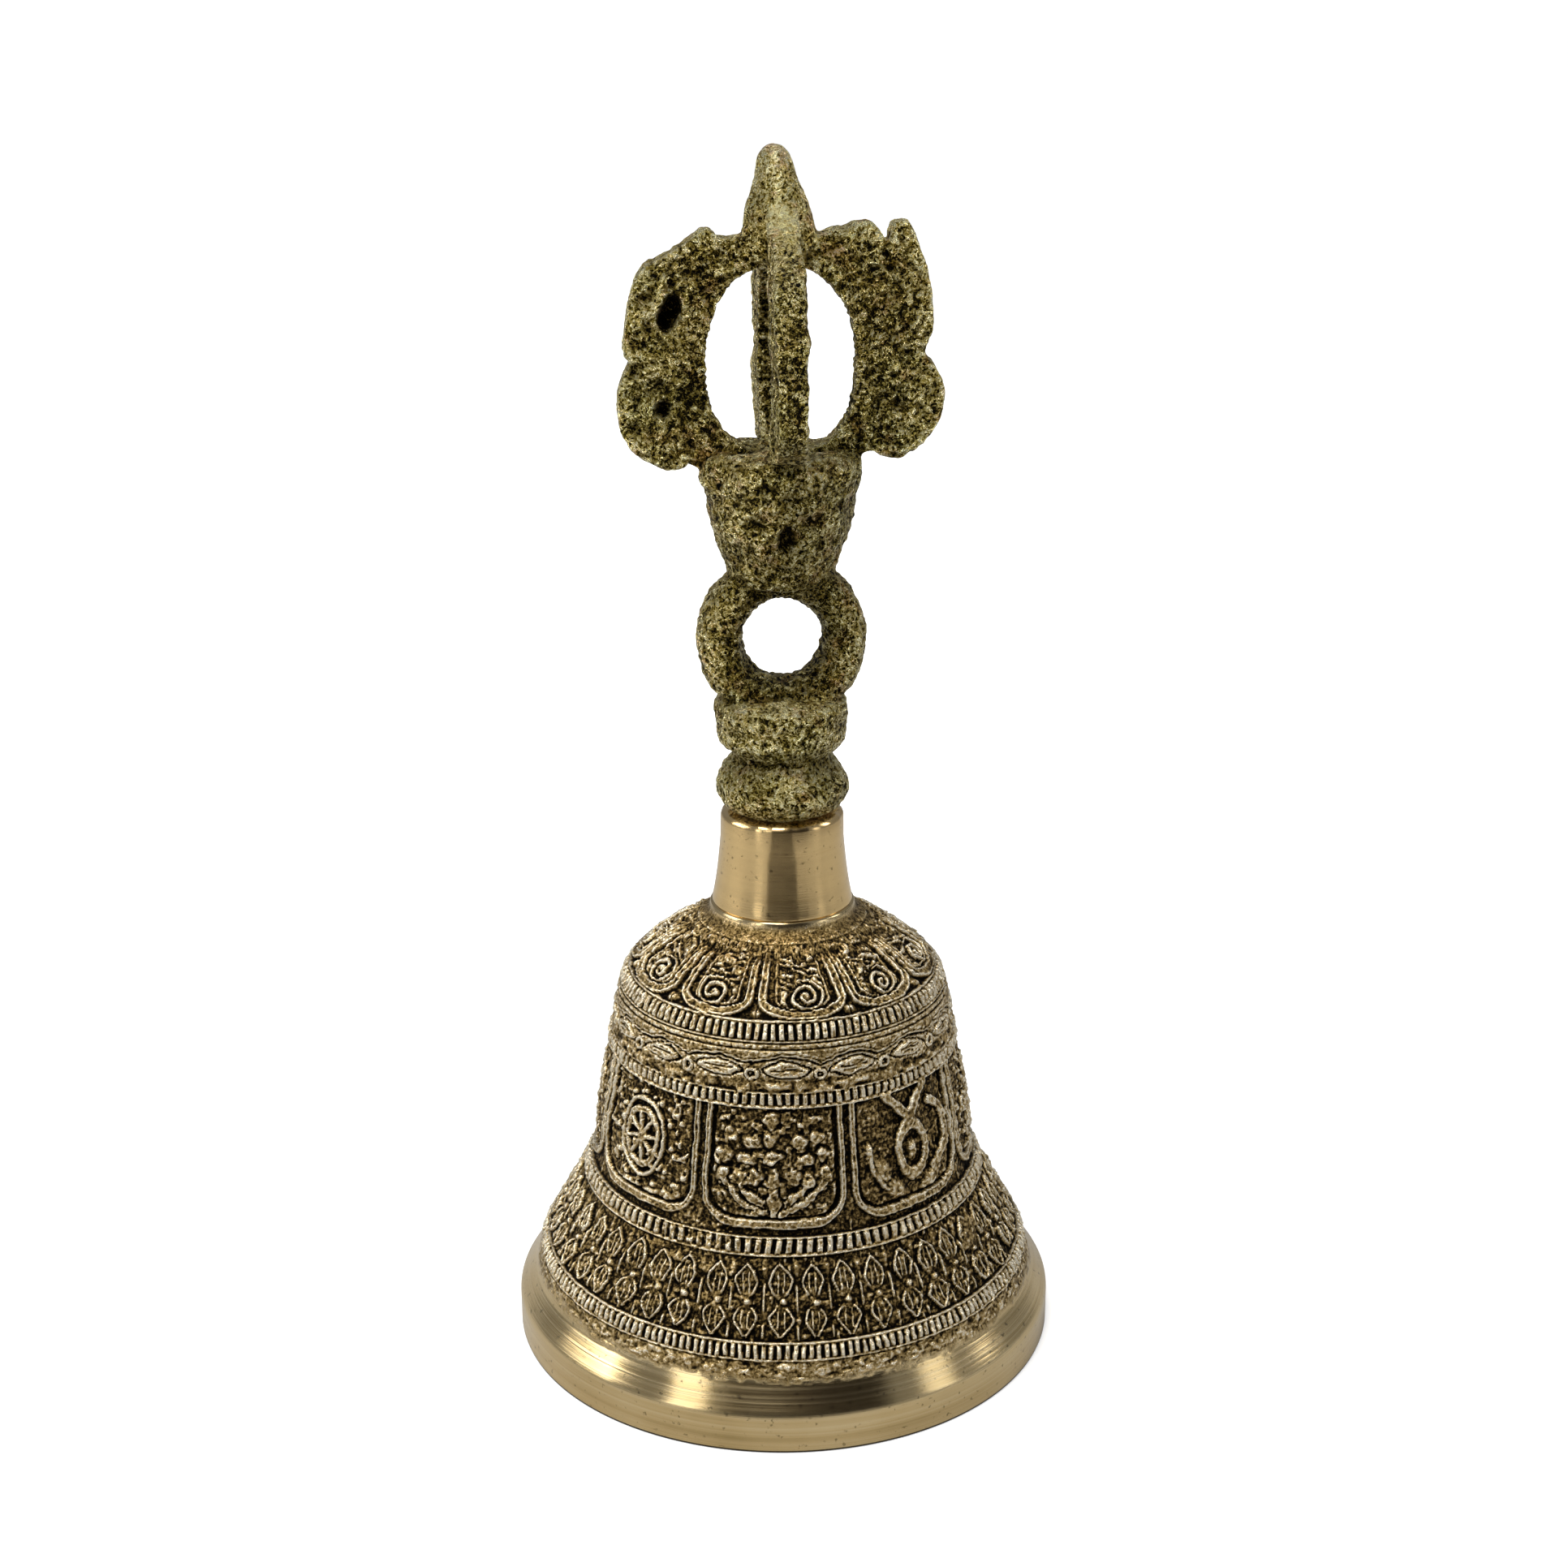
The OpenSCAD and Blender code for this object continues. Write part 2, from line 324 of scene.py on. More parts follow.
def mat_relief():
    """Cast bronze: dark patina in the grooves, brown ground, highs that are partly rubbed metal and partly painted
    highlight, and a turned lip where `polish` is 1.
    """
    n = Nodes("cast_bronze")
    rel = n.attr("relief")
    pol = n.attr("polish")
    grime = n.noise(420.0, 5.0, 0.65)
    fine = n.noise(2300.0, 4.0, 0.75)
    grit = n.noise(5200.0, 2.0, 0.6)
    cloud = n.noise(60.0, 3.0, 0.55)
    h = n.value("ADD", rel, n.value("MULTIPLY", n.value("SUBTRACT", grime, 0.5), 0.45))
    h = n.value("ADD", h, n.value("MULTIPLY", n.value("SUBTRACT", fine, 0.5), 1.45))
    h = n.value("ADD", h, n.value("MULTIPLY", n.value("SUBTRACT", grit, 0.5), 0.45))
    # the near-white top stops of this ramp are painted highlight on the proudest edges
    col = n.ramp(h, [(0.14, (0.003, 0.002, 0.001)), (0.30, (0.032, 0.021, 0.007)), (0.43, (0.150, 0.102, 0.036)),
                     (0.57, (0.36, 0.255, 0.100)), (0.71, (0.68, 0.52, 0.255)), (0.85, (1.0, 0.93, 0.74))])
    tint = n.mix(cloud, (1.0, 0.94, 0.84), (1.0, 1.0, 1.04))
    col = n.mix(1.0, col, tint, "MULTIPLY")
    rough = n.ramp(h, [(0.25, 0.75), (0.45, 0.44), (0.68, 0.27)])
    metal = n.ramp(h, [(0.24, 0.92), (0.42, 1.0)])
    # turned lip
    rings = n.noise(1.0, 3.0, 0.65, vector=n.scaled((14.0, 14.0, 4600.0)))
    wide = n.noise(1.0, 2.0, 0.5, vector=n.scaled((9.0, 9.0, 700.0)))
    tone = n.value("ADD", n.value("MULTIPLY", rings, 0.4), n.value("ADD", n.value("MULTIPLY", wide, 0.4), n.value("MULTIPLY", cloud, 0.4)))
    lip = n.ramp(tone, [(0.38, (0.42, 0.305, 0.130)), (0.55, (0.63, 0.470, 0.230)), (0.78, (0.80, 0.64, 0.37))])
    # painted contact shadow: the very edge that the bell stands on is darkened
    lip = n.mix(1.0, lip, n.ramp(rel, [(0.05, 0.10), (0.30, 1.0)]), "MULTIPLY")
    speck = n.ramp(n.noise(1400.0, 2.0, 0.5), [(0.26, 0.35), (0.35, 1.0)])
    lip = n.mix(0.8, lip, speck, "MULTIPLY")
    lip_rough = n.value("ADD", n.value("MULTIPLY", rings, 0.20), 0.10)
    col = n.mix(pol, col, lip)
    rough = n.lerp(pol, rough, lip_rough)
    metal = n.lerp(pol, metal, 1.0)
    rough_skin = n.value("ADD", n.value("MULTIPLY", fine, 1.3), n.value("ADD", grime, n.value("MULTIPLY", grit, 0.5)))
    n.bumped(n.lerp(pol, rough_skin, n.value("MULTIPLY", rings, 0.22)), 0.8, 0.00016)
    n.turned(n.value("MULTIPLY", pol, 0.75))
    return n.finish(col, rough, metal)


def mat_inside():
    n = Nodes("bell_inside")
    grime = n.noise(260.0, 6.0, 0.65)
    rings = n.noise(1.0, 3.0, 0.6, vector=n.scaled((25.0, 25.0, 1500.0)))
    fine = n.noise(1900.0, 3.0, 0.7)
    tone = n.value("ADD", n.value("MULTIPLY", grime, 0.6), n.value("MULTIPLY", rings, 0.4))
    col = n.ramp(tone, [(0.34, (0.10, 0.072, 0.035)), (0.5, (0.33, 0.24, 0.12)), (0.66, (0.52, 0.39, 0.21))])
    rough = n.ramp(tone, [(0.35, 0.75), (0.65, 0.45)])
    n.bumped(n.value("ADD", fine, rings), 0.6, 0.00012)
    return n.finish(col, rough, 0.95)


def mat_rough_brass():
    """Sand-cast brass: olive patina, brown stains, dark pits, and bright specks and curls that are painted glints."""
    n = Nodes("rough_brass")
    rel = n.attr("relief")
    warm = n.attr("warm")
    blotch = n.noise(260.0, 5.0, 0.65, 0.4)
    grain = n.noise(1500.0, 6.0, 0.8, 0.8)
    fine = n.noise(2500.0, 2.0, 0.65, 0.8)
    # short curled marks left by the sand, as bumps; in the colour they are bright curls that are painted glints, and
    # dark scores

    def strokes(scale, twist, thin, seed_scale):
        away = n.value("ABSOLUTE", n.value("SUBTRACT", n.noise(scale, 2.0, 0.6, twist), 0.5))
        gap = n.ramp(n.noise(seed_scale, 2.0, 0.5), [(0.46, 0.0), (0.54, 1.0)])
        return n.value("MULTIPLY", n.ramp(away, [(thin, 1.0), (thin * 2.3, 0.0)]), gap)

    curl = n.value("ADD", strokes(820.0, 2.2, 0.018, 1150.0), n.value("MULTIPLY", strokes(1270.0, 2.0, 0.024, 900.0), 0.8))
    score = n.value("ADD", strokes(690.0, 2.4, 0.017, 1290.0), n.value("MULTIPLY", strokes(1090.0, 1.8, 0.022, 840.0), 0.8))
    h = n.value("ADD", n.value("SUBTRACT", rel, 0.02), n.value("MULTIPLY", n.value("SUBTRACT", grain, 0.5), 1.3))
    h = n.value("ADD", h, n.value("MULTIPLY", n.value("SUBTRACT", fine, 0.5), 2.3))
    h = n.value("ADD", h, n.value("MULTIPLY", n.value("SUBTRACT", blotch, 0.5), 0.60))
    h = n.value("ADD", h, n.value("MULTIPLY", curl, 0.42))
    h = n.value("SUBTRACT", h, n.value("MULTIPLY", score, 0.30))
    # the near-white top stops of this ramp are painted glints
    col = n.ramp(h, [(0.16, (0.004, 0.003, 0.001)), (0.35, (0.062, 0.045, 0.008)), (0.50, (0.21, 0.160, 0.032)),
                     (0.64, (0.50, 0.395, 0.100)), (0.77, (0.97, 0.82, 0.36)), (0.90, (1.0, 0.97, 0.72))])
    green = n.mix(blotch, (0.93, 1.0, 0.80), (1.0, 0.93, 0.88))
    brown = n.ramp(n.noise(330.0, 4.0, 0.7), [(0.55, 0.0), (0.66, 0.6)])
    col = n.mix(1.0, col, green, "MULTIPLY")
    col = n.mix(brown, col, n.mix(1.0, col, (0.80, 0.58, 0.55), "MULTIPLY"))
    col = n.mix(warm, col, n.mix(1.0, col, (1.12, 1.04, 1.0), "MULTIPLY"))
    rough = n.ramp(h, [(0.25, 0.62), (0.5, 0.38), (0.8, 0.24)])
    metal = n.ramp(h, [(0.2, 0.92), (0.42, 1.0)])
    skin = n.value("ADD", n.value("MULTIPLY", grain, 1.4), n.value("MULTIPLY", fine, 0.6))
    marks = n.value("SUBTRACT", n.value("MULTIPLY", curl, 0.26), n.value("MULTIPLY", score, 0.20))
    n.bumped(n.value("ADD", skin, marks), 1.0, 0.00062)
    return n.finish(col, rough, metal)


def mat_steel(name="dull_steel", tint=(0.40, 0.385, 0.36)):
    n = Nodes(name)
    grime = n.noise(350.0, 5.0, 0.65)
    fine = n.noise(2500.0, 3.0, 0.7)
    rust = n.ramp(n.noise(170.0, 6.0, 0.7), [(0.52, 0.0), (0.68, 1.0)])
    col = n.ramp(grime, [(0.3, tuple(c * 0.45 for c in tint)), (0.55, tint), (0.75, tuple(c * 1.35 for c in tint))])
    col = n.mix(n.value("MULTIPLY", rust, 0.55), col, (0.13, 0.065, 0.03))
    rough = n.value("ADD", n.value("MULTIPLY", grime, 0.35), n.value("ADD", n.value("MULTIPLY", rust, 0.2), 0.22))
    n.bumped(n.value("ADD", fine, grime), 0.6, 0.00008)
    return n.finish(col, rough, n.lerp(rust, 1.0, 0.6))


M_RELIEF = mat_relief()
M_INSIDE = mat_inside()
M_TURNED = mat_turned("turned_bronze", (0.80, 0.575, 0.27), (0.60, 0.40, 0.165), 0.205)
M_BALL = mat_turned("clapper_brass", (0.62, 0.47, 0.24), (0.36, 0.26, 0.12), 0.36, 3600.0)
M_BRASS = mat_rough_brass()
M_STEEL = mat_steel()


# ---------------------------------------------------------------- the bell and its relief

LIP = np.array([(35.2, 0.0), (35.42, 0.08), (35.5, 0.3)])
BODY = np.vstack([
    [(35.5, 0.3), (35.5, 4.7), (35.35, 5.2), (33.15, 8.4), (32.4, 10.8), (31.3, 12.8), (26.2, 21.9), (25.3, 24.1)],
    bez((25.3, 24.1), (24.8, 26), (24.6, 28), (24.3, 31), 8),
    [(22.55, 40.2), (22.15, 42.2), (21.0, 48.1), (19.7, 50.4)],
    bez((19.7, 50.4), (18.35, 52.3), (14.4, 54.9), (9.6, 57.75), 12),
])
INNER = np.vstack([
    [(9.2, 54.0)], bez((9.2, 54), (13.8, 52), (17.8, 49.6), (18.3, 45.6), 8),
    [(21.5, 28.6)], bez((21.5, 28.6), (21.8, 25.4), (22.2, 23.4), (23.8, 20.5), 6),
    [(29.9, 9.4), (30.8, 4.6), (31.0, 0.4), (31.1, 0.1), (31.4, 0.0)],
])
ZONES = {"lip": (0, 8.6), "skin": (8.6, 10.8), "band5": (10.8, 12.8), "frieze": (12.8, 21.9), "band4": (21.9, 24.1),
         "panels": (24.1, 40.2), "band3": (40.2, 42.2), "garland": (42.2, 47.3), "line": (47.3, 48.1),
         "band1": (48.1, 50.4), "petals": (50.4, 57.0), "fillet": (57.0, 57.8)}


def relief(th, s_of, r_row, z_row, s_row):
    """Height of the cast ornament over the bell's plain wall, in millimetres, one row for each row of the wall."""
    nr, nc = len(z_row), len(th)
    H = np.zeros((nr, nc))
    circ = th[None, :] / TAU

    def wander(v, amount, seed, size=1.0):
        """A hand-cut line is never true: noise of `amount` millimetres."""
        c = int(110 / size)
        return amount * (wave_noise(circ * c + 0 * v, v / (1.3 * size), c, seed) + 0.5 * wave_noise(circ * c * 2 + 0 * v, v / (0.65 * size), c * 2, seed + 1))

    def zone(name):
        a, b = ZONES[name]
        rows = np.where((z_row >= a) & (z_row < b))[0]
        v = (s_row[rows] - s_of(a))[:, None]
        return rows, v, s_of(b) - s_of(a), r_row[rows][:, None]

    def ribs(name, count, seed):
        rows, v, length, r = zone(name)
        wob = wave_noise(circ * 60 + 0 * v, v * 0.5, 60, seed) * 0.13
        a = (circ * count + wob) % 1.0
        c = 0.5 + 0.5 * np.cos(TAU * a)
        rib = smooth(0.16, 0.62, c)
        amp = 1 + 0.22 * wave_noise(circ * count + 0 * v, v * 0.3, count, seed + 1)
        ends = smooth(0.16, 0.48, v) * (1 - smooth(length - 0.48, length - 0.16, v))
        edge = np.maximum(line(v - 0.08, 0.14, 0.1), line(v - (length - 0.08), 0.14, 0.1))
        H[rows] = np.maximum(-0.30 + 0.66 * rib * ends * amp, -0.30 + 0.62 * edge)

    ribs("band5", 208, 11)
    ribs("band4", 128, 12)
    ribs("band3", 132, 13)
    ribs("band1", 122, 14)

    # ---- frieze of stacked pointed petals
    rows, v, length, r = zone("frieze")
    n = 44
    a = ((circ * n + 0.12) % 1.0) - 0.5
    cell = np.floor(circ * n + 0.12).astype(int) % n
    rng = np.random.default_rng(5)
    jx, jh, jw, jy = (rng.uniform(lo, hi, n)[cell] for lo, hi in ((-0.2, 0.2), (0.7, 1.12), (0.84, 1.05), (-0.22, 0.22)))
    x = (a * TAU * r / n - jx) + wander(v, 0.13, 301)
    vv = v + wander(v, 0.13, 311) - jy
    h = np.full_like(x, -0.20)

    def almond(cx, cy, w, ln):
        yy = (vv - cy) / ln
        prof = np.clip(1 - np.abs(yy + 0.12 * yy * yy) ** 1.5, 0, 1)
        return np.where(np.abs(yy) < 1, np.abs(x - cx) - w * jw * prof, 9.0)

    d = almond(0, 7.2, 1.5, 2.55)
    h = np.maximum(h, -0.20 + 0.20 * smooth(0.0, -0.25, d))
    h = np.maximum(h, -0.20 + 0.64 * line(d + 0.16, 0.15, 0.12) * smooth(5.3, 6.0, vv))
    h = np.maximum(h, -0.20 + 0.46 * line(np.abs(x) - 0.34, 0.12, 0.12) * smooth(5.4, 6.1, vv) * (1 - smooth(8.0, 9.0, vv)))
    d2 = almond(0.1, 2.75, 1.6, 2.2)
    h = np.where(d2 < 0, np.maximum(-0.24, h * 0.3), h)
    h = np.maximum(h, -0.20 + 0.20 * smooth(0.0, -0.25, d2))
    h = np.maximum(h, -0.20 + 0.62 * line(d2 + 0.17, 0.15, 0.12) * (1 - smooth(3.7, 4.3, vv)))
    h = np.maximum(h, -0.20 + 0.44 * line(np.abs(x - 0.1) - 0.40, 0.12, 0.12) * smooth(1.0, 1.7, vv) * (1 - smooth(3.3, 4.1, vv)))
    h = np.maximum(h, -0.20 + 0.62 * bump(np.hypot(x - 0.3, vv - 4.75), 0.66))
    # small leaves and crumbs between the petals
    xs = np.abs(a) * TAU * r / n - 0.5 * TAU * r / n
    h = np.maximum(h, -0.20 + 0.46 * line(xs + 0.10 * jx, 0.13, 0.12) * smooth(3.4, 4.2, vv) * (1 - smooth(6.2, 7.2, vv)))
    h = np.maximum(h, -0.20 + 0.40 * line(xs + 0.12 * jy, 0.13, 0.12) * smooth(0.2, 0.7, vv) * (1 - smooth(1.5, 2.3, vv)))
    h = np.maximum(h, -0.20 + 0.30 * bump(np.hypot(xs * 1.5, (vv - 8.9) * 0.6), 0.8))
    crumbs = wave_noise(circ * 330 + 0 * v, v * 1.5, 330, 321)
    h = np.maximum(h, -0.26 + 0.27 * smooth(0.2, 0.85, crumbs))
    h = h * jh
    # a worn spot on the right
    ang = (th[None, :] - math.radians(-32 - 4.3) + math.pi) % TAU - math.pi
    patch = bump(np.hypot(ang * r * 0.75, v - 6.9 - ang * r * 0.3), 2.5)
    h = h * (1 - 0.85 * smooth(0.1, 0.6, patch)) + 0.28 * patch
    H[rows] = h

    # ---- panels
    rows, v, length, r = zone("panels")
    n = 8
    centre0 = math.radians(270 - 2.8 - 4.3)
    k = np.floor((th[None, :] - centre0) / (TAU / n) + 0.5).astype(int)
    x = (th[None, :] - centre0 - k * TAU / n) * r
    k = k % n
    half = math.pi * r / n
    w = half - 0.36
    h = np.full(x.shape, -0.40) + 0 * v
    v0 = v
    x = x + wander(v, 0.075, 331)
    v = v + wander(v, 0.075, 341)
    # the frame: straight bars and a thicker round-cornered foot
    rad, foot = 4.6, 0.85
    qx = np.abs(x) - (w - rad)
    qy = (foot + rad) - v
    corner = np.hypot(np.maximum(qx, 0), np.maximum(qy, 0)) + np.minimum(np.maximum(qx, qy), 0) - rad
    thick = 0.37 + 0.58 * smooth(3.0, 0.7, v)
    frame = 1 - smooth(thick - 0.13, thick + 0.13, np.abs(corner + thick + 0.05))
    inner = corner + 2 * thick
    rim = np.maximum(line(inner - 0.10, 0.10, 0.10), 0.6 * line(corner + 0.20, 0.10, 0.10))
    h = np.maximum(h, -0.40 + (0.44 + 0.18 * rim) * frame)
    h = h - 0.22 * line(inner + 0.30, 0.26, 0.12)
    outside = smooth(-0.05, 0.15, corner)
    gap = np.abs(np.abs(x) - half)
    h = np.maximum(h, (-0.42 + 0.25 * line(gap, 0.10, 0.12) * smooth(3.0, 1.0, v)) * outside + (1 - outside) * -9)
    field = smooth(0.0, 0.4, -(inner + 0.52))
    emb = np.zeros_like(x)
    for e in range(n):
        m = np.where(k[0] == e)[0]
        q = 0.35 if e in (1, 7) else 1.2 if e == 0 else 0.6
        wx = q * (0.34 * wave_noise(circ[:, m] * 110 + 0 * v0[:, :1], v0 * 0.75, 110, 391) + 0.16 * wave_noise(circ[:, m] * 230 + 0 * v0[:, :1], v0 * 1.5, 230, 392))
        wv = q * (0.34 * wave_noise(circ[:, m] * 110 + 0 * v0[:, :1], v0 * 0.75, 110, 393) + 0.16 * wave_noise(circ[:, m] * 230 + 0 * v0[:, :1], v0 * 1.5, 230, 394))
        fat = 1.9 if e == 0 else 1.25
        emb[:, m] = fat * emblem(e, (x[:, m] + wx) / 1.12, (v[:, m] + wv - foot - 8.0) / 1.12 + 8.0)
    ground = wave_noise(circ * 210 + 0 * v, v0 * 1.35, 210, 35)
    ground = smooth(0.15, 0.6, ground) * 0.32 + 0.16 * wave_noise(circ * 330 + 0 * v, v0 * 2.2, 330, 36)
    ground = ground * (1 + 0.45 * (k == 7) - 0.55 * (k == 1))
    ragged = 1 + 0.34 * wave_noise(circ * 240 + 0 * v, v0 * 1.7, 240, 37)
    h = np.where(field > 0, np.maximum(h, (-0.34 + np.maximum(np.clip(emb, 0, 1) * np.where((k == 1) | (k == 7), 0.66, 0.54 * ragged), ground)) * field + h * (1 - field)), h)
    H[rows] = h

    # ---- garland of leaves, beads and swags
    rows, v, length, r = zone("garland")
    n = 16
    base = centre0 + math.radians(4)
    a = (th[None, :] - base) / (TAU / n) + 0.5
    cell = np.floor(a).astype(int) % n
    x = ((a % 1.0) - 0.5) * TAU * r / n
    v0 = v
    x = x + wander(v, 0.22, 371)
    v = v + wander(v, 0.18, 381)
    hw = math.pi * r / n
    rng = np.random.default_rng(8)
    tilt = rng.uniform(-0.10, 0.10, n)[cell]
    xs = np.abs(x)
    h = np.full(x.shape, 0.10) + 0 * v
    swag = 3.15 + 0.95 * np.clip(1 - xs / hw, 0, 1) ** 0.8
    h = h + 0.22 * line(v - swag - 0.46, 0.11, 0.1) - 0.34 * line(v - swag - 0.18, 0.13, 0.12)
    h = h + 0.16 * smooth(0.65, 0.9, v - swag)
    lx, lv = x * 1.0, v - (2.45 + 0.25 * (1 - xs / hw) + tilt * x * 0.6)
    leaf = (np.abs(lx / 2.9) ** 1.5 + np.abs(lv / 1.02) ** 1.5) ** (1 / 1.5)
    h = np.where((leaf < 1.16) & (leaf > 0.99), -0.30, h)
    h = np.maximum(h, -0.32 + 0.66 * (1 - smooth(0.86, 1.02, leaf)))
    h = h - 0.26 * line(lv - 0.12, 0.10, 0.08) * (np.abs(lx) < 1.8) - 0.20 * line(lv + 0.36, 0.08, 0.08) * (np.abs(lx + 0.5) < 0.9)
    h = h - 0.18 * line(lv - 0.46, 0.07, 0.08) * (np.abs(lx - 0.5) < 0.8)
    bead = np.hypot(xs - hw, (v - 2.15))
    h = np.where(bead < 0.95, -0.24, h)
    h = np.maximum(h, -0.28 + 0.62 * line(bead - 0.62, 0.24, 0.12))
    h = np.maximum(h, -0.28 + 0.40 * bump(bead, 0.32))
    lump = wave_noise(circ * 150 + 0 * v, v0 * 1.35, 150, 31)
    low = 1 - smooth(0.9, 1.5, v0 + 0.3 * lump)
    h = h * (1 - low) + low * (0.08 + 0.34 * lump)
    H[rows] = h

    rows, v, length, r = zone("line")
    H[rows] = 0.02 + 0.24 * line(v - 0.45, 0.24, 0.12) + 0 * circ

    # ---- petals on the shoulder
    rows, v, length, r = zone("petals")
    n = 10
    c0 = math.radians(270 + 8 - 4.3)
    k = np.floor((th[None, :] - c0) / (TAU / n) + 0.5).astype(int)
    x = (th[None, :] - c0 - k * TAU / n) * r + wander(v, 0.10, 351)
    v0 = v
    v = v + wander(v, 0.10, 361)
    k = k % n
    hw = math.pi * r / n
    w = hw * np.array([1.02, 0.93, 0.97, 1.0, 0.95, 0.98, 1.0, 0.94, 0.97, 0.90])[k]
    e0 = 3.1
    yy = np.minimum(v - 0.12 - e0, 0) / e0
    q = (np.abs(x / w) ** 2.3 + np.abs(yy) ** 2.3) ** (1 / 2.3)
    d = (q - 1) * np.minimum(w, e0)
    h = np.full(x.shape, -0.34) + 0 * v
    inside = smooth(0.0, 0.3, -(d + 1.3))
    rng = np.random.default_rng(77)
    side = rng.choice([-1.0, 1.0], n)
    side[0] = 1.0
    sx = (x * side[k] - 0.5)
    sv = v - 3.25
    rho = np.hypot(sx, sv * 1.05) + 0.22 * wave_noise(circ * 120 + 0 * v, v0 * 0.8, 120, 45)
    phi = np.arctan2(sv, sx)
    spiral = 0.5 + 0.5 * np.cos(TAU * (rho / 1.05 - phi / TAU))
    field = -0.34 + 0.60 * smooth(0.45, 0.85, spiral) * (rho < 2.3)
    field = np.maximum(field, -0.34 + 0.5 * bump(rho, 0.5))
    flame = 0.5 + 0.5 * np.cos(TAU * ((x * side[k] * 0.45 + v * 0.8) / 1.35 + 0.45 * np.sin(v * 1.7 + x * 0.8 + k)))
    lumps = wave_noise(circ * 104 + 0 * v, v0 * 1.25, 104, 41)
    flame = smooth(0.45, 0.95, flame) * 0.35 + 0.62 * smooth(0.0, 0.5, lumps)
    far = smooth(2.3, 2.7, rho)
    field = field * (1 - far) + (-0.30 + 0.62 * np.clip(flame, 0, 1)) * far
    h = np.maximum(h, field * inside + h * (1 - inside))
    fade_top = 1 - 0.75 * smooth(length - 4.0, length - 1.6, v)
    broad = 0.34 + 0.30 * smooth(2.6, 0.9, v)
    lip_p = d + broad
    edge_p = np.maximum(line(lip_p - broad + 0.16, 0.09, 0.1), line(lip_p + broad - 0.10, 0.09, 0.1))
    h = np.maximum(h, -0.34 + (0.50 + 0.22 * edge_p) * (1 - smooth(broad - 0.10, broad + 0.10, np.abs(lip_p))) * fade_top)
    h = h - 0.20 * line(d + 2 * broad + 0.2, 0.14, 0.12)
    h = np.maximum(h, -0.34 + 0.40 * line(d + 2 * broad + 0.62, 0.10, 0.10) * fade_top)
    gx = np.abs(x) - hw
    tri = bump(np.hypot(gx / 1.1, (v - 0.95) / 0.95), 1.0)
    h = np.maximum(h, -0.34 + 0.55 * tri) - 0.30 * line(gx, 0.10, 0.08) * (v < 1.9)
    h = np.maximum(h, -0.34 + 0.42 * line(v - 0.08, 0.13, 0.10))
    crest = smooth(length - 1.9, length - 0.7, v)
    rough = 0.24 * wave_noise(circ * 64 + 0 * v, v0 * 1.1, 64, 43) - 0.02
    h = h * (1 - crest) + rough * crest * (1 - smooth(length - 0.7, length, v))
    H[rows] = h - 0.12 * smooth(0.0, 1.5, v0)

    # ---- the skin between the turned lip and the lowest band
    rows, v, length, r = zone("skin")
    H[rows] = 0.10 * wave_noise(circ * 260 + 0 * v, v * 1.5, 260, 51) * smooth(0, 0.8, v) - 0.03

    # ---- casting roughness, stronger where the mould was soft
    rows = np.where(z_row > 9.0)[0]
    sv = s_row[rows][:, None]
    soft = wave_noise(circ * 7 + 0 * sv, sv / 9.0, 7, 61)
    ang = (th[None, :] - math.radians(270 - 24 - 4.3) + math.pi) % TAU - math.pi
    blur = np.exp(-((ang / 0.30) ** 2) - ((z_row[rows][:, None] - 23.5) / 4.6) ** 2)
    worn = np.clip(0.18 + 0.30 * soft + 0.85 * blur, 0, 0.9)
    fine = wave_noise(circ * 420 + 0 * sv, sv * 2.9, 420, 62)
    mid = wave_noise(circ * 190 + 0 * sv, sv * 1.3, 190, 63)
    amount = 1 - 0.7 * smooth(56.5, 57.6, z_row[rows][:, None])
    tiny = wave_noise(circ * 640 + 0 * sv, sv * 4.4, 640, 64)
    H[rows] = H[rows] * (1 - 0.50 * blur) + amount * (tiny * 0.045 + fine * (0.07 + 0.12 * worn) + mid * (0.05 + 0.22 * worn))
    return H


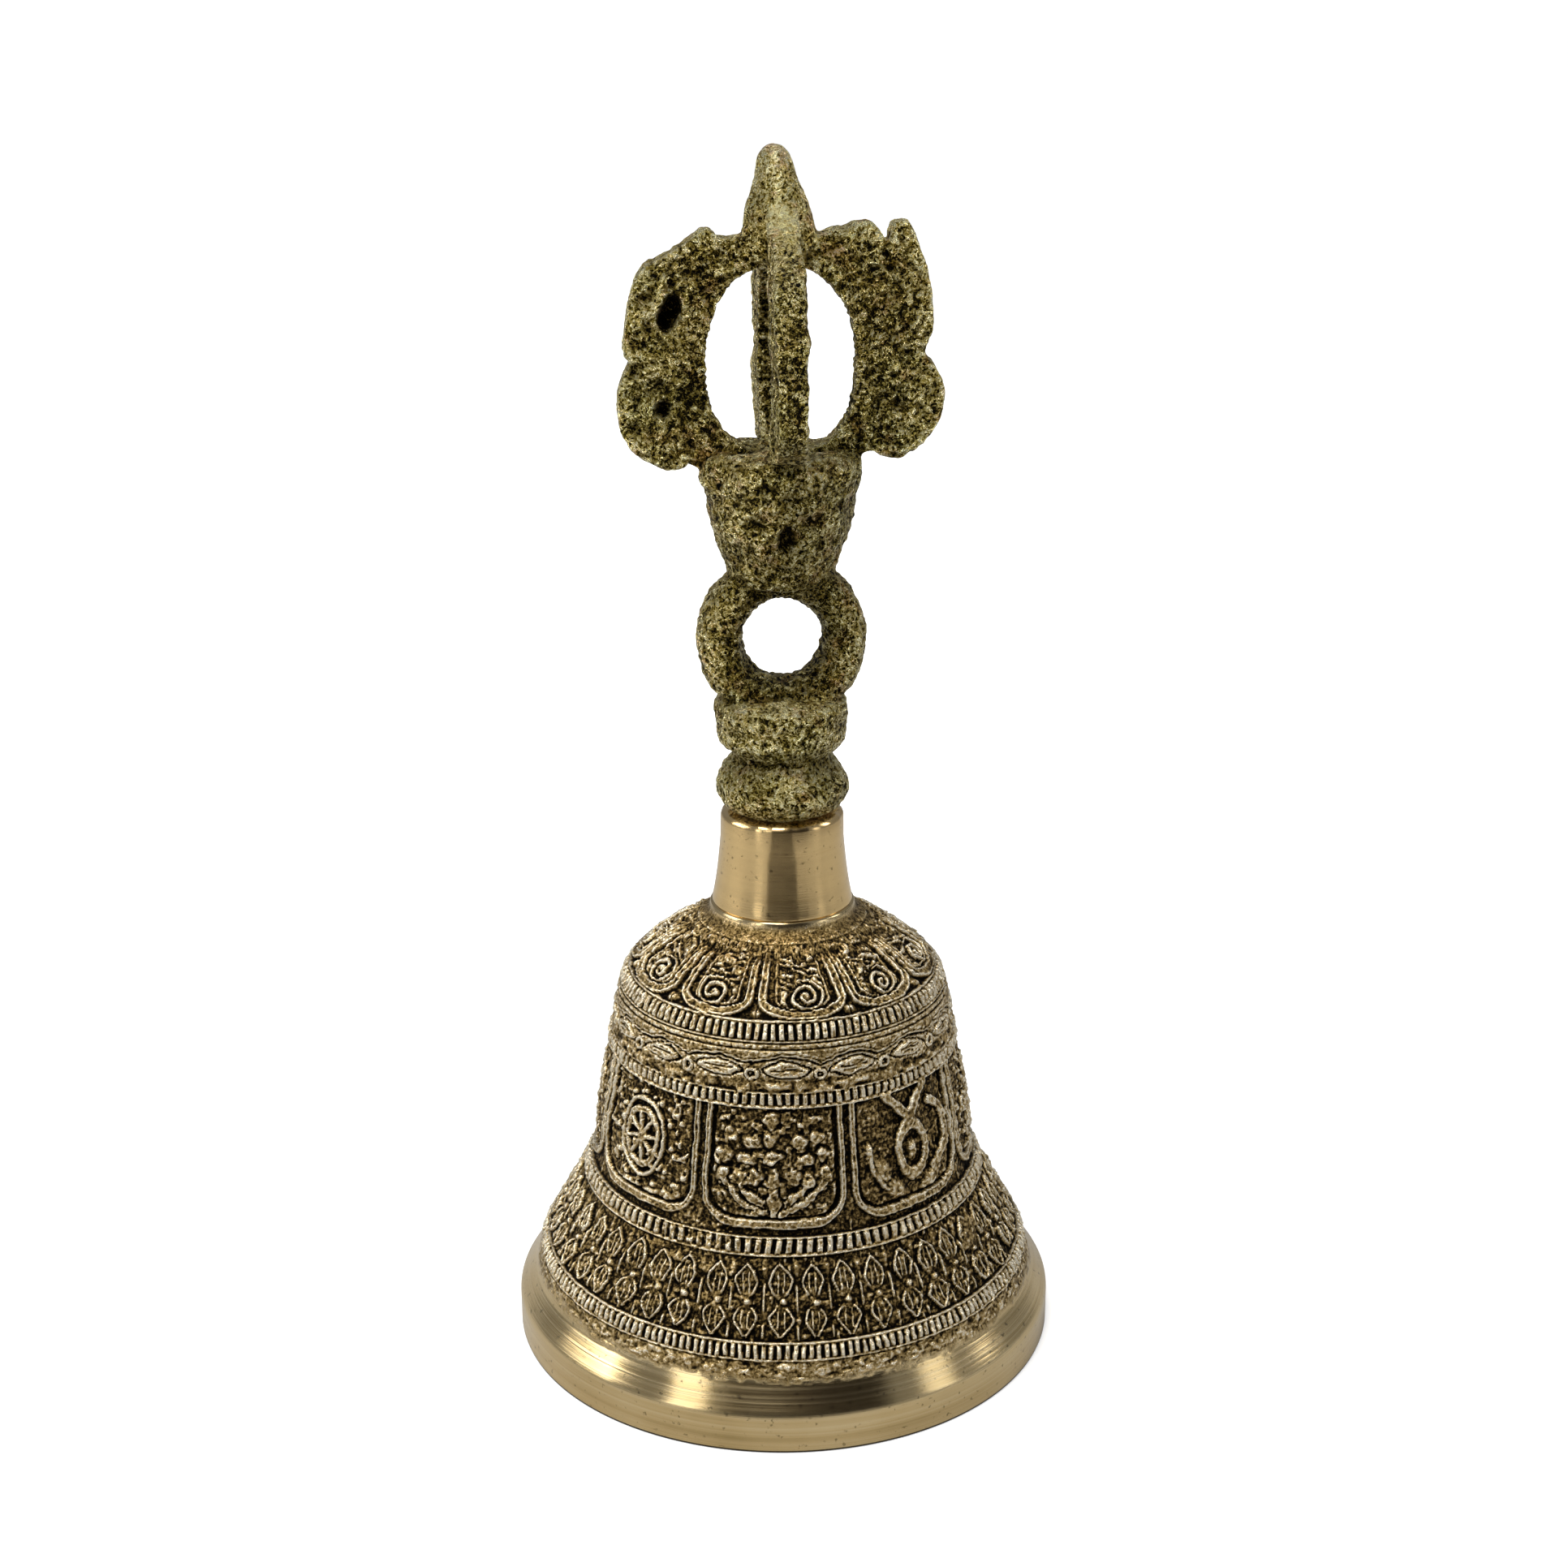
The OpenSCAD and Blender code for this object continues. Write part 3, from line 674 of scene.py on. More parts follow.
def emblem(e, x, v):
    """Height from 0 to 1 of one panel's emblem. x runs across the panel and v up from its foot, in millimetres."""
    def disc(cx, cy, r):
        return bump(np.hypot(x - cx, v - cy), r)

    def ringd(cx, cy, r, w, sx=1.0, sy=1.0):
        return line(np.hypot((x - cx) / sx, (v - cy) / sy) - r, w)

    def blob(cx, cy, a, b, turn):
        t = math.radians(turn)
        p, q = (x - cx) * math.cos(t) + (v - cy) * math.sin(t), -(x - cx) * math.sin(t) + (v - cy) * math.cos(t)
        return bump(np.hypot(p / a, q / b), 1.0)

    def seg(x0, y0, x1, y1, w):
        dx, dy = x1 - x0, y1 - y0
        t = np.clip(((x - x0) * dx + (v - y0) * dy) / (dx * dx + dy * dy), 0, 1)
        return line(np.hypot(x - x0 - t * dx, v - y0 - t * dy), w)

    def arc(cx, cy, r, w, a0, a1):
        ang = np.degrees(np.arctan2(v - cy, x - cx)) % 360
        m = ((ang - a0) % 360) <= ((a1 - a0) % 360)
        return line(np.hypot(x - cx, v - cy) - r, w) * m

    h = np.zeros_like(x)
    up = lambda *parts: np.maximum.reduce([h, *parts])
    if e == 0:   # vase on a stem between flowers, with ribbons
        h = up(disc(-0.2, 13.3, 1.15), blob(-0.3, 11.2, 1.3, 1.15, 0), blob(0, 9.2, 1.15, 0.95, 0), blob(0, 6.7, 1.0, 1.6, 0))
        h = up(seg(0, 1.0, 0, 5.4, 0.45), disc(0, 4.1, 0.85), disc(0, 2.4, 0.7))
        for s in (-1, 1):
            h = up(blob(s * 2.7, 10.8, 1.4, 1.0, 0), blob(s * 4.7, 11.4, 1.05, 1.3, 0), blob(s * 3.2, 8.8, 1.45, 0.95, s * 20),
                   blob(s * 5.6, 9.2, 0.9, 1.0, 0), blob(s * 2.1, 7.0, 1.1, 1.2, s * 25), blob(s * 3.9, 6.6, 0.95, 1.1, 0),
                   blob(s * 5.9, 7.2, 0.9, 1.05, s * 30), blob(s * 6.6, 8.9, 0.5, 0.95, 0))
            h = up(0.9 * arc(0, 8.8, 5.9, 0.34, 200 if s < 0 else 278, 262 if s < 0 else 340),
                   0.75 * arc(0, 8.1, 4.3, 0.28, 200 if s < 0 else 282, 258 if s < 0 else 340))
        return h
    if e == 1:   # crossed ribbons over a ring with a drop, and leaves
        h = up(seg(-3.0, 14.6, 1.1, 9.9, 0.55), seg(2.6, 14.6, -1.1, 9.9, 0.55), disc(0, 11.2, 0.85))
        h = up(ringd(0, 7.5, 2.35, 0.52, 0.86, 1.22), blob(0, 7.4, 0.75, 1.6, 0))
        h = up(blob(-4.4, 6.0, 1.4, 2.5, 25), blob(-2.9, 3.7, 2.4, 1.3, -35), blob(-5.9, 8.8, 0.6, 1.2, -15), blob(3.0, 3.4, 2.6, 1.25, 30))
        h = up(0.95 * arc(1.6, 8.4, 4.2, 0.5, 285, 70), blob(5.9, 6.4, 0.8, 1.9, -25), 0.8 * arc(-0.5, 8.0, 5.3, 0.26, 175, 235))
        return h
    if e == 7:   # wheel in an oval of rays
        h = up(ringd(0, 8.4, 2.75, 0.30, 0.9, 1.15), ringd(0, 8.4, 3.9, 0.24, 0.88, 1.12) * 0.8, disc(0, 8.4, 0.75))
        for i in range(4):
            a = math.radians(45 * i + 10)
            h = up(seg(-2.4 * math.cos(a), 8.4 - 2.9 * math.sin(a), 2.4 * math.cos(a), 8.4 + 2.9 * math.sin(a), 0.22) * 0.9)
        for i in range(12):
            a = math.radians(30 * i)
            h = up(disc(4.55 * math.cos(a), 8.2 + 5.5 * math.sin(a), 0.55) * 0.8)
        return up(blob(-1.8, 2.4, 1.6, 0.6, -15), blob(1.8, 2.4, 1.6, 0.6, 15), blob(0, 1.7, 0.9, 0.7, 0))
    if e == 2:   # endless knot
        for o in (-2.2, 0, 2.2):
            h = up(0.9 * seg(-3.0 + o, 7.8 + o * 0.0 - 3.0, 3.0 + o * 0.0, 7.8 + 3.0 - o * 0.0, 0.28) if o == 0 else h,
                   0.85 * seg(-3.1 + max(o, 0), 4.7 - min(o, 0), 3.1 + min(o, 0), 10.9 - max(o, 0), 0.28),
                   0.85 * seg(3.1 - max(o, 0), 4.7 - min(o, 0), -3.1 - min(o, 0), 10.9 - max(o, 0), 0.28))
        for cx, cy in ((0, 11.6), (0, 4.0), (-3.9, 7.8), (3.9, 7.8)):
            h = up(0.9 * ringd(cx, cy, 0.8, 0.22))
        return up(0.8 * arc(0, 6.6, 4.6, 0.22, 200, 340), blob(-3.4, 2.9, 1.2, 0.6, -30), blob(3.4, 2.9, 1.2, 0.6, 30))
    if e == 3:   # lotus
        for a in (-64, -40, -18, 0, 18, 40, 64):
            t = math.radians(a)
            h = up(blob(3.2 * math.sin(t), 6.0 + 3.4 * math.cos(t), 0.85, 2.3, -a) * (1.0 - abs(a) / 240))
        return up(blob(0, 5.2, 3.0, 0.9, 0), seg(0, 1.6, 0, 4.6, 0.3), blob(-2.4, 3.2, 1.7, 0.7, -25), blob(2.4, 3.2, 1.7, 0.7, 25))
    if e == 4:   # two fish
        for s in (-1, 1):
            h = up(blob(s * 1.9, 8.2, 1.15, 4.0, s * 14), blob(s * 3.1, 3.9, 1.3, 0.6, s * 60), blob(s * 3.1, 3.9, 1.3, 0.6, -s * 20),
                   0.9 * seg(s * 2.0, 6.6, s * 3.9, 5.9, 0.2))
            h = np.maximum(h - 0.7 * bump(np.hypot(x - s * 1.15, v - 11.0), 0.32), 0)
        return h
    if e == 5:   # shell
        rho, phi = np.hypot(x, (v - 7.6) * 0.8), np.arctan2(v - 7.6, x)
        sp = smooth(0.35, 0.8, 0.5 + 0.5 * np.cos(TAU * (rho / 1.25 - phi / TAU))) * (rho < 3.5)
        return up(0.9 * sp, blob(1.2, 3.0, 1.0, 2.2, 20), blob(-3.6, 5.0, 0.9, 1.6, 30), blob(3.9, 9.8, 0.7, 1.5, -20))
    # parasol
    h = up(line(np.hypot(x / 1.15, v - 8.6) - 3.6, 0.35) * (v > 8.6), seg(0, 1.6, 0, 12.6, 0.26), disc(0, 12.9, 0.6))
    h = up(seg(-4.1, 8.6, 4.1, 8.6, 0.3))
    for i in range(7):
        h = up(disc(-3.9 + i * 1.3, 7.8, 0.55))
        h = up(0.7 * seg((-3.9 + i * 1.3) * 0.2, 12.0, -3.9 + i * 1.3, 8.8, 0.14))
    return up(blob(-2.3, 3.6, 1.4, 0.7, 25), blob(2.3, 3.6, 1.4, 0.7, -25))


def blurred(H, kr, kc, times=3):
    """Box blur over rows and round columns."""
    A = H
    for _ in range(times):
        c = np.cumsum(np.concatenate([A[:, -kc:], A, A[:, :kc]], 1), 1)
        c = np.concatenate([np.zeros((len(A), 1)), c], 1)
        A = (c[:, 2 * kc + 1:] - c[:, :-2 * kc - 1]) / (2 * kc + 1)
        P = np.concatenate([A[:1]] * kr + [A] + [A[-1:]] * kr, 0)
        c = np.concatenate([np.zeros((1, A.shape[1])), np.cumsum(P, 0)], 0)
        A = (c[2 * kr + 1:] - c[:-2 * kr - 1]) / (2 * kr + 1)
    return A


def make_bell():
    cols = 1152
    step = 0.185
    body = resample(BODY, step)
    # round the joints of the plain wall a little above the turned lip
    s = np.concatenate([[0], np.cumsum(np.hypot(*np.diff(body, axis=0).T))])
    sm = body.copy()
    for _ in range(20):
        sm[1:-1] = sm[1:-1] * 0.5 + 0.25 * (sm[:-2] + sm[2:])
    keep = smooth(7.6, 9.5, body[:, 1])[:, None]
    edge = body.copy()
    for _ in range(3):
        edge[1:-1] = edge[1:-1] * 0.5 + 0.25 * (edge[:-2] + edge[2:])
    body = edge * (1 - keep) + sm * keep
    s = np.concatenate([[0], np.cumsum(np.hypot(*np.diff(body, axis=0).T))])
    tan = np.gradient(body, s, axis=0)
    tan /= np.hypot(*tan.T)[:, None]
    nor = np.stack([tan[:, 1], -tan[:, 0]], 1)
    th = np.arange(cols) / cols * TAU
    s_of = lambda z: float(np.interp(z, body[:, 1], s))
    H = relief(th, s_of, body[:, 0], body[:, 1], s)
    fade = np.ones(len(body))
    fade[-3:] = 0
    H *= fade[:, None]
    wide = blurred(H, 5, 5)
    mid = blurred(H, 2, 2, 2)
    near = blurred(H, 1, 1, 1)
    # tone of the relief: darker in the hollows as patina, lighter on proud parts and thin edges, partly rubbed metal
    # and partly painted highlight
    rel = np.clip(0.465 + (H - wide) * 0.40 + (H - mid) * 0.75 + (H - near) * 2.3 + H * 0.10, 0, 1)
    skin = smooth(8.2, 8.8, body[:, 1]) * (1 - smooth(10.4, 10.9, body[:, 1]))
    rel = rel + 0.13 * skin[:, None]
    # painted contact shadow: the lowest row of the wall gets relief 0, which darkens the lip colour
    rel[0] = 0.0
    ga, gb = ZONES["garland"]
    rel = rel + 0.05 * (smooth(ga, ga + 0.6, body[:, 1]) * (1 - smooth(gb, gb + 1.2, body[:, 1])))[:, None]
    fa, fb = ZONES["frieze"]
    rel = rel - 0.03 * ((body[:, 1] > fa) & (body[:, 1] < fb))[:, None]
    # where the lathe has cut the skin away, with a ragged edge
    zz = body[:, 1][:, None]
    circ = th[None, :] / TAU
    rag = wave_noise(circ * 300 + 0 * zz, s[:, None] * 1.9, 300, 71) * 0.55 + wave_noise(circ * 70 + 0 * zz, s[:, None] * 0.6, 70, 72) * 0.6
    ang = (th[None, :] - math.radians(270 + 35)) % TAU
    lean = 0.5 * np.cos(th[None, :] - math.radians(300))
    polish = 1 - smooth(8.5, 9.7, zz + rag * smooth(7.6, 8.8, zz) + lean)

    rings_r, rings_z, rel_rows, pol_rows = [], [], [], []
    rows = []
    # the chamfer rows get relief 0 too, darkened as painted contact shadow
    for r, z in LIP[:-1]:
        rows.append((np.full(cols, r), np.full(cols, z)))
        rel_rows.append(np.full(cols, 0.0)); pol_rows.append(np.ones(cols))
    for i in range(len(body)):
        rows.append((body[i, 0] + nor[i, 0] * H[i], body[i, 1] + nor[i, 1] * H[i]))
        rel_rows.append(rel[i]); pol_rows.append(polish[i])
    # bright ring and seat under the ferrule
    for r, z, shine in ((9.42, 58.0, 0.0), (9.33, 58.3, 0.2), (9.30, 58.6, 0.7), (9.26, 58.9, 1.0), (9.15, 59.1, 1.0), (6.0, 59.1, 1.0), (3.05, 59.1, 1.0)):
        rows.append((np.full(cols, r), np.full(cols, z)))
        rel_rows.append(np.full(cols, 0.5 + 0.2 * shine)); pol_rows.append(np.full(cols, shine))
    split = len(rows)
    inner = np.vstack([[(3.05, 58.9), (3.05, 54.2), (3.05, 54.0), (6.0, 54.0)], resample(INNER, 1.5)])
    for r, z in inner:
        a = 0.05 * wave_noise(circ * 90, 0 * circ + z * 0.7, 90, 81)[0] if 1 < z < 53 else np.zeros(cols)
        rows.append((r - a, np.full(cols, z)))
        rel_rows.append(np.full(cols, 0.4)); pol_rows.append(np.zeros(cols))
    R = np.array([a for a, _ in rows]); Z = np.array([b for _, b in rows])
    V = np.stack([R * np.cos(th), R * np.sin(th), Z], -1).reshape(-1, 3) * MM
    F = grid_faces(len(rows), cols, loop_rows=True)
    row_of = F[:, 0] // cols
    mats = (row_of >= split - 1).astype(int)
    mats[row_of == len(rows) - 1] = 0
    ob = mesh_from("bell_relief", V, F, [M_RELIEF, M_INSIDE],
                   {"relief": np.array(rel_rows).ravel(), "polish": np.array(pol_rows).ravel()}, mats)
    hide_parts("bell_shell")
    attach(ob, "bell")
    return ob


bell = make_bell()


# ---------------------------------------------------------------- the turned ferrule

def make_ferrule():
    cols = 256
    z0, z1 = 59.1, 71.3
    out = np.vstack([[(8.8, z0), (8.93, z0 + 0.06), (9.0, z0 + 0.2), (8.98, z0 + 0.35)],
                     bez((8.98, z0 + 0.35), (8.62, z0 + 1.9), (8.25, z0 + 4.0), (7.86, z0 + 8.6), 12),
                     [(7.84, z1 - 0.75), (7.72, z1 - 0.4), (7.35, z1 - 0.08), (7.1, z1), (5.6, z1), (4.66, z1),
                      (4.6, z1 - 0.1), (4.6, z0 + 0.1), (4.7, z0)]])
    th = np.arange(cols) / cols * TAU
    rng = np.random.default_rng(3)
    R = np.repeat(out[:, :1], cols, 1)
    Z = np.repeat(out[:, 1:], cols, 1)
    circ = th / TAU
    nick = wave_noise(circ[None, :] * 23, circ[None, :] * 0, 23, 91)[0]
    for i, (r, z) in enumerate(out):
        if z > z1 - 0.8 and r > 7:
            Z[i] -= 0.10 * np.clip(nick, 0, 1)
            R[i] -= 0.07 * np.clip(nick, 0, 1)
        if z < z0 + 0.5 and r > 8:
            R[i] -= 0.05 * np.clip(-nick, 0, 1)
    V = np.stack([R * np.cos(th), R * np.sin(th), Z], -1).reshape(-1, 3) * MM
    ob = mesh_from("ferrule_turned", V, grid_faces(len(out), cols, loop_rows=True), [M_TURNED])
    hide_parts("neck_ferrule")
    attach(ob, "bell")
    return ob


ferrule = make_ferrule()


# ---------------------------------------------------------------- the rough-cast handle

PRONG_RIGHT = [(0, 142.6), (5.2, 142.4), (6.6, 143.2), (7.6, 142.9), (8.6, 143.7), (10.2, 143.9), (11.3, 143.2), (12.2, 141.6), (12.8, 141.7), (13.1, 143.4),
               (13.8, 144.0), (15.0, 143.9), (16.0, 142.2), (16.5, 140.6), (17.4, 138.4), (17.9, 135.6), (18.2, 133.3), (18.1, 130.9), (17.2, 128.7),
               (17.5, 128.1), (18.4, 127.2), (19.3, 125.4), (19.7, 123.6), (19.3, 121.0), (18.3, 119.1), (16.9, 117.6), (14.2, 116.0),
               (12.2, 116.2), (11.0, 117.1), (9.8, 116.6), (8.4, 115.4), (0, 115.4)]
PRONG_LEFT = [(0, 142.6), (5.0, 142.3), (6.8, 142.2), (7.3, 141.9), (8.0, 143.0), (9.0, 143.3), (10.0, 142.6), (12.0, 141.1),
              (14.0, 139.9), (16.0, 139.0), (17.2, 137.7), (18.0, 134.8), (18.4, 132.3), (18.7, 129.6), (18.5, 128.5), (17.9, 127.9), (18.2, 127.2),
              (18.9, 126.1), (19.5, 124.2), (19.7, 122.6), (19.4, 119.8), (18.2, 117.6), (16.6, 116.3), (14.0, 114.9),
              (12.4, 115.0), (11.2, 115.6), (9.6, 115.2), (0, 115.2)]


PRONG_FRONT = [(0, 147.6), (1.6, 147.2), (2.9, 146.2), (4.0, 144.8), (5.4, 143.7), (7.6, 143.2), (9.6, 142.6), (12.0, 141.2),
               (14.0, 139.9), (16.0, 138.6), (17.2, 137.1), (18.0, 134.6), (18.4, 132.3), (18.6, 129.8), (18.6, 127.6), (19.0, 126.0), (19.5, 124.4), (19.7, 123.2), (19.2, 121.0), (18.0, 119.3), (16.0, 118.4), (13.8, 117.9), (11.8, 117.6), (10.0, 117.0), (8.4, 115.6), (0, 115.2)]


def opening(n=48):
    """Half of the opening inside the prongs, from the foot of the axis to its top."""
    pts = []
    for i in range(n + 1):
        a = -math.pi / 2 + math.pi * i / n
        c, s = math.cos(a), math.sin(a)
        e = 2.7 if s < 0 else 2.15
        b = 11.0 if s < 0 else 11.0
        pts.append((9.05 * abs(c) ** (2 / e), 128.0 + b * math.copysign(abs(s) ** (2 / e), s)))
    pts[0], pts[-1] = (0, pts[0][1]), (0, pts[-1][1])
    return pts


def plate(bm, outline, azimuth, thick):
    """A prong: outline (radius, height) with the opening cut out, as a closed plate turned to its azimuth."""
    # the plate runs a little past the axis, so nothing of it spans the opening's own ends
    pts = [(x if x > 0 else -0.4, z) for x, z in outline] + opening()
    t = math.radians(azimuth)
    c, s = math.cos(t), math.sin(t)
    rows = []
    for y in (-thick / 2, thick / 2):
        rows.append([bm.verts.new((x * c - y * s, x * s + y * c, z)) for x, z in pts])
    lo, hi = rows
    a = bm.faces.new(lo)
    b = bm.faces.new(list(reversed(hi)))
    n = len(pts)
    for i in range(n):
        j = (i + 1) % n
        bm.faces.new((lo[j], lo[i], hi[i], hi[j]))
    bmesh.ops.triangulate(bm, faces=[a, b])


def add_soup(bm, verts, polys, move=None):
    vs = [bm.verts.new(move @ Vector(v) if move else v) for v in verts]
    for p in polys:
        bm.faces.new([vs[i] for i in p])


def vertex_normals(me):
    n = np.empty(len(me.vertices) * 3)
    me.vertices.foreach_get("normal", n)
    return n.reshape(-1, 3)


def relax(P, edges, times, amount=0.5):
    n = len(P)
    deg = np.bincount(edges.ravel(), minlength=n).astype(float)
    for _ in range(times):
        S = np.stack([np.bincount(edges[:, 0], P[edges[:, 1], k], n) + np.bincount(edges[:, 1], P[edges[:, 0], k], n) for k in range(3)], 1)
        P = P * (1 - amount) + S / deg[:, None] * amount
    return P


def relax_value(A, edges, times):
    n = len(A)
    deg = np.bincount(edges.ravel(), minlength=n).astype(float)
    for _ in range(times):
        A = 0.5 * A + 0.5 * (np.bincount(edges[:, 0], A[edges[:, 1]], n) + np.bincount(edges[:, 1], A[edges[:, 0]], n)) / deg
    return A


def make_handle():
    bm = bmesh.new()
    # spigot and the two collars
    collars = np.vstack([[(0, 59.4), (4.5, 59.4), (4.5, 71.4), (5.9, 71.4), (6.6, 71.65)],
                         bez((6.6, 71.65), (7.9, 72.5), (8.5, 73.6), (8.3, 75.0), 6),
                         bez((8.3, 75.0), (8.2, 76.4), (6.9, 77.7), (6.15, 78.3), 6),
                         [(6.05, 78.9)],
                         bez((6.05, 78.9), (6.9, 79.5), (7.8, 80.2), (8.2, 81.2), 6),
                         [(8.25, 83.4), (8.3, 85.0), (8.2, 85.7), (7.6, 86.0), (5.5, 86.4), (0, 87.2)]])
    add_soup(bm, *revolve_soup(collars, 96))
    # head block, a tapered block with a thick rim
    head = np.vstack([[(0, 100.2), (5.8, 100.6), (6.7, 102.2)], bez((6.7, 102.2), (7.2, 104.2), (8.6, 107.0), (9.2, 110.6), 6),
                      [(9.4, 111.9), (9.7, 113.2), (10.0, 114.4), (10.05, 115.6), (9.7, 116.6), (8.6, 117.2), (5, 117.2), (0, 117.3)]])
    add_soup(bm, *revolve_soup(head, 96, 0.96))
    # tip
    tip = [(0, 138.8), (3.6, 139.2), (4.5, 141.0), (4.3, 143.4), (3.8, 145.6), (3.0, 147.6), (2.5, 149.2), (2.15, 150.9), (1.6, 152.0), (0.7, 152.6), (0, 152.7)]
    lean = Matrix.Identity(4)
    lean[0][2], lean[0][3] = -0.055, 0.055 * 141.0 - 0.05
    add_soup(bm, *revolve_soup(tip, 64, 0.95), lean)
    # ring: an egg-shaped section swept round the hole
    cols, m = 144, 40
    sec = []
    for i in range(m):
        a = TAU * i / m
        c, s = math.cos(a), math.sin(a)
        sec.append((7.82 + 2.76 * math.copysign(abs(c) ** 0.8, c), 3.65 * math.copysign(abs(s) ** 0.72, s)))
    vs, ps = [], []
    for j in range(cols):
        t = TAU * j / cols
        for r, y in sec:
            vs.append((r * math.cos(t), y, 93.7 + r * math.sin(t)))
    for j in range(cols):
        for i in range(m):
            a, b = j * m + i, j * m + (i + 1) % m
            c, d = ((j + 1) % cols) * m + (i + 1) % m, ((j + 1) % cols) * m + i
            ps.append((a, b, c, d))
    add_soup(bm, vs, ps)
    plate(bm, PRONG_RIGHT, 0, 4.3)
    plate(bm, PRONG_LEFT, 180, 4.3)
    plate(bm, PRONG_FRONT, 270, 3.6)
    plate(bm, PRONG_RIGHT, 90, 4.3)
    bmesh.ops.recalc_face_normals(bm, faces=bm.faces)
    me = bpy.data.meshes.new("handle_raw")
    bm.to_mesh(me)
    bm.free()
    raw = bpy.data.objects.new("handle_raw", me)
    bpy.context.scene.collection.objects.link(raw)
    mod = raw.modifiers.new("fuse", "REMESH")
    mod.mode = "VOXEL"
    mod.voxel_size = 0.21
    dg = bpy.context.evaluated_depsgraph_get()
    fused = bpy.data.meshes.new_from_object(raw.evaluated_get(dg))
    bpy.data.objects.remove(raw)
    nv = len(fused.vertices)
    P = np.empty(nv * 3)
    fused.vertices.foreach_get("co", P)
    P = P.reshape(-1, 3)
    E = np.empty(len(fused.edges) * 2, dtype=np.int32)
    fused.edges.foreach_get("vertices", E)
    E = E.reshape(-1, 2)
    P = relax(P, E, 12)
    fused.vertices.foreach_set("co", P.ravel())
    fused.update()
    N = vertex_normals(fused)

    d, warm, rub_and_painted_light = sculpt(P, N)
    P2 = P + N * d[:, None]
    P2 = relax(P2, E, 1, 0.3)
    fused.vertices.foreach_set("co", (P2 * MM).ravel())
    # how proud each point stands of what is round it
    near = relax_value(d, E, 12)
    far = relax_value(d, E, 60)
    rel = 0.50 + np.clip((d - near) * 1.1, -0.5, 0.16) + np.clip((d - far) * 0.5, -0.4, 0.10) + np.clip(d + 0.25, -0.9, 0.0) * 0.5 + rub_and_painted_light
    # hollows of the plain shape are darkened and its proud corners lightened, as painted shade and painted highlight
    P3 = relax(P, E, 40)
    bulge = np.sum((P - P3) * N, 1)
    rel = np.clip(rel + np.clip(bulge, -0.32, 0.25) * 0.85, 0, 1)
    fused.update()
    for key, values in (("relief", rel), ("warm", warm)):
        at = fused.attributes.new(key, "FLOAT", "POINT")
        at.data.foreach_set("value", values.astype(np.float32))
    fused.materials.clear()
    fused.materials.append(M_BRASS)
    fused.polygons.foreach_set("use_smooth", np.ones(len(fused.polygons), dtype=bool))
    fused.name = "handle_cast"
    ob = bpy.data.objects.new("handle_cast", fused)
    bpy.context.scene.collection.objects.link(ob)
    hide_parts("handle")
    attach(ob, "bell")
    return ob


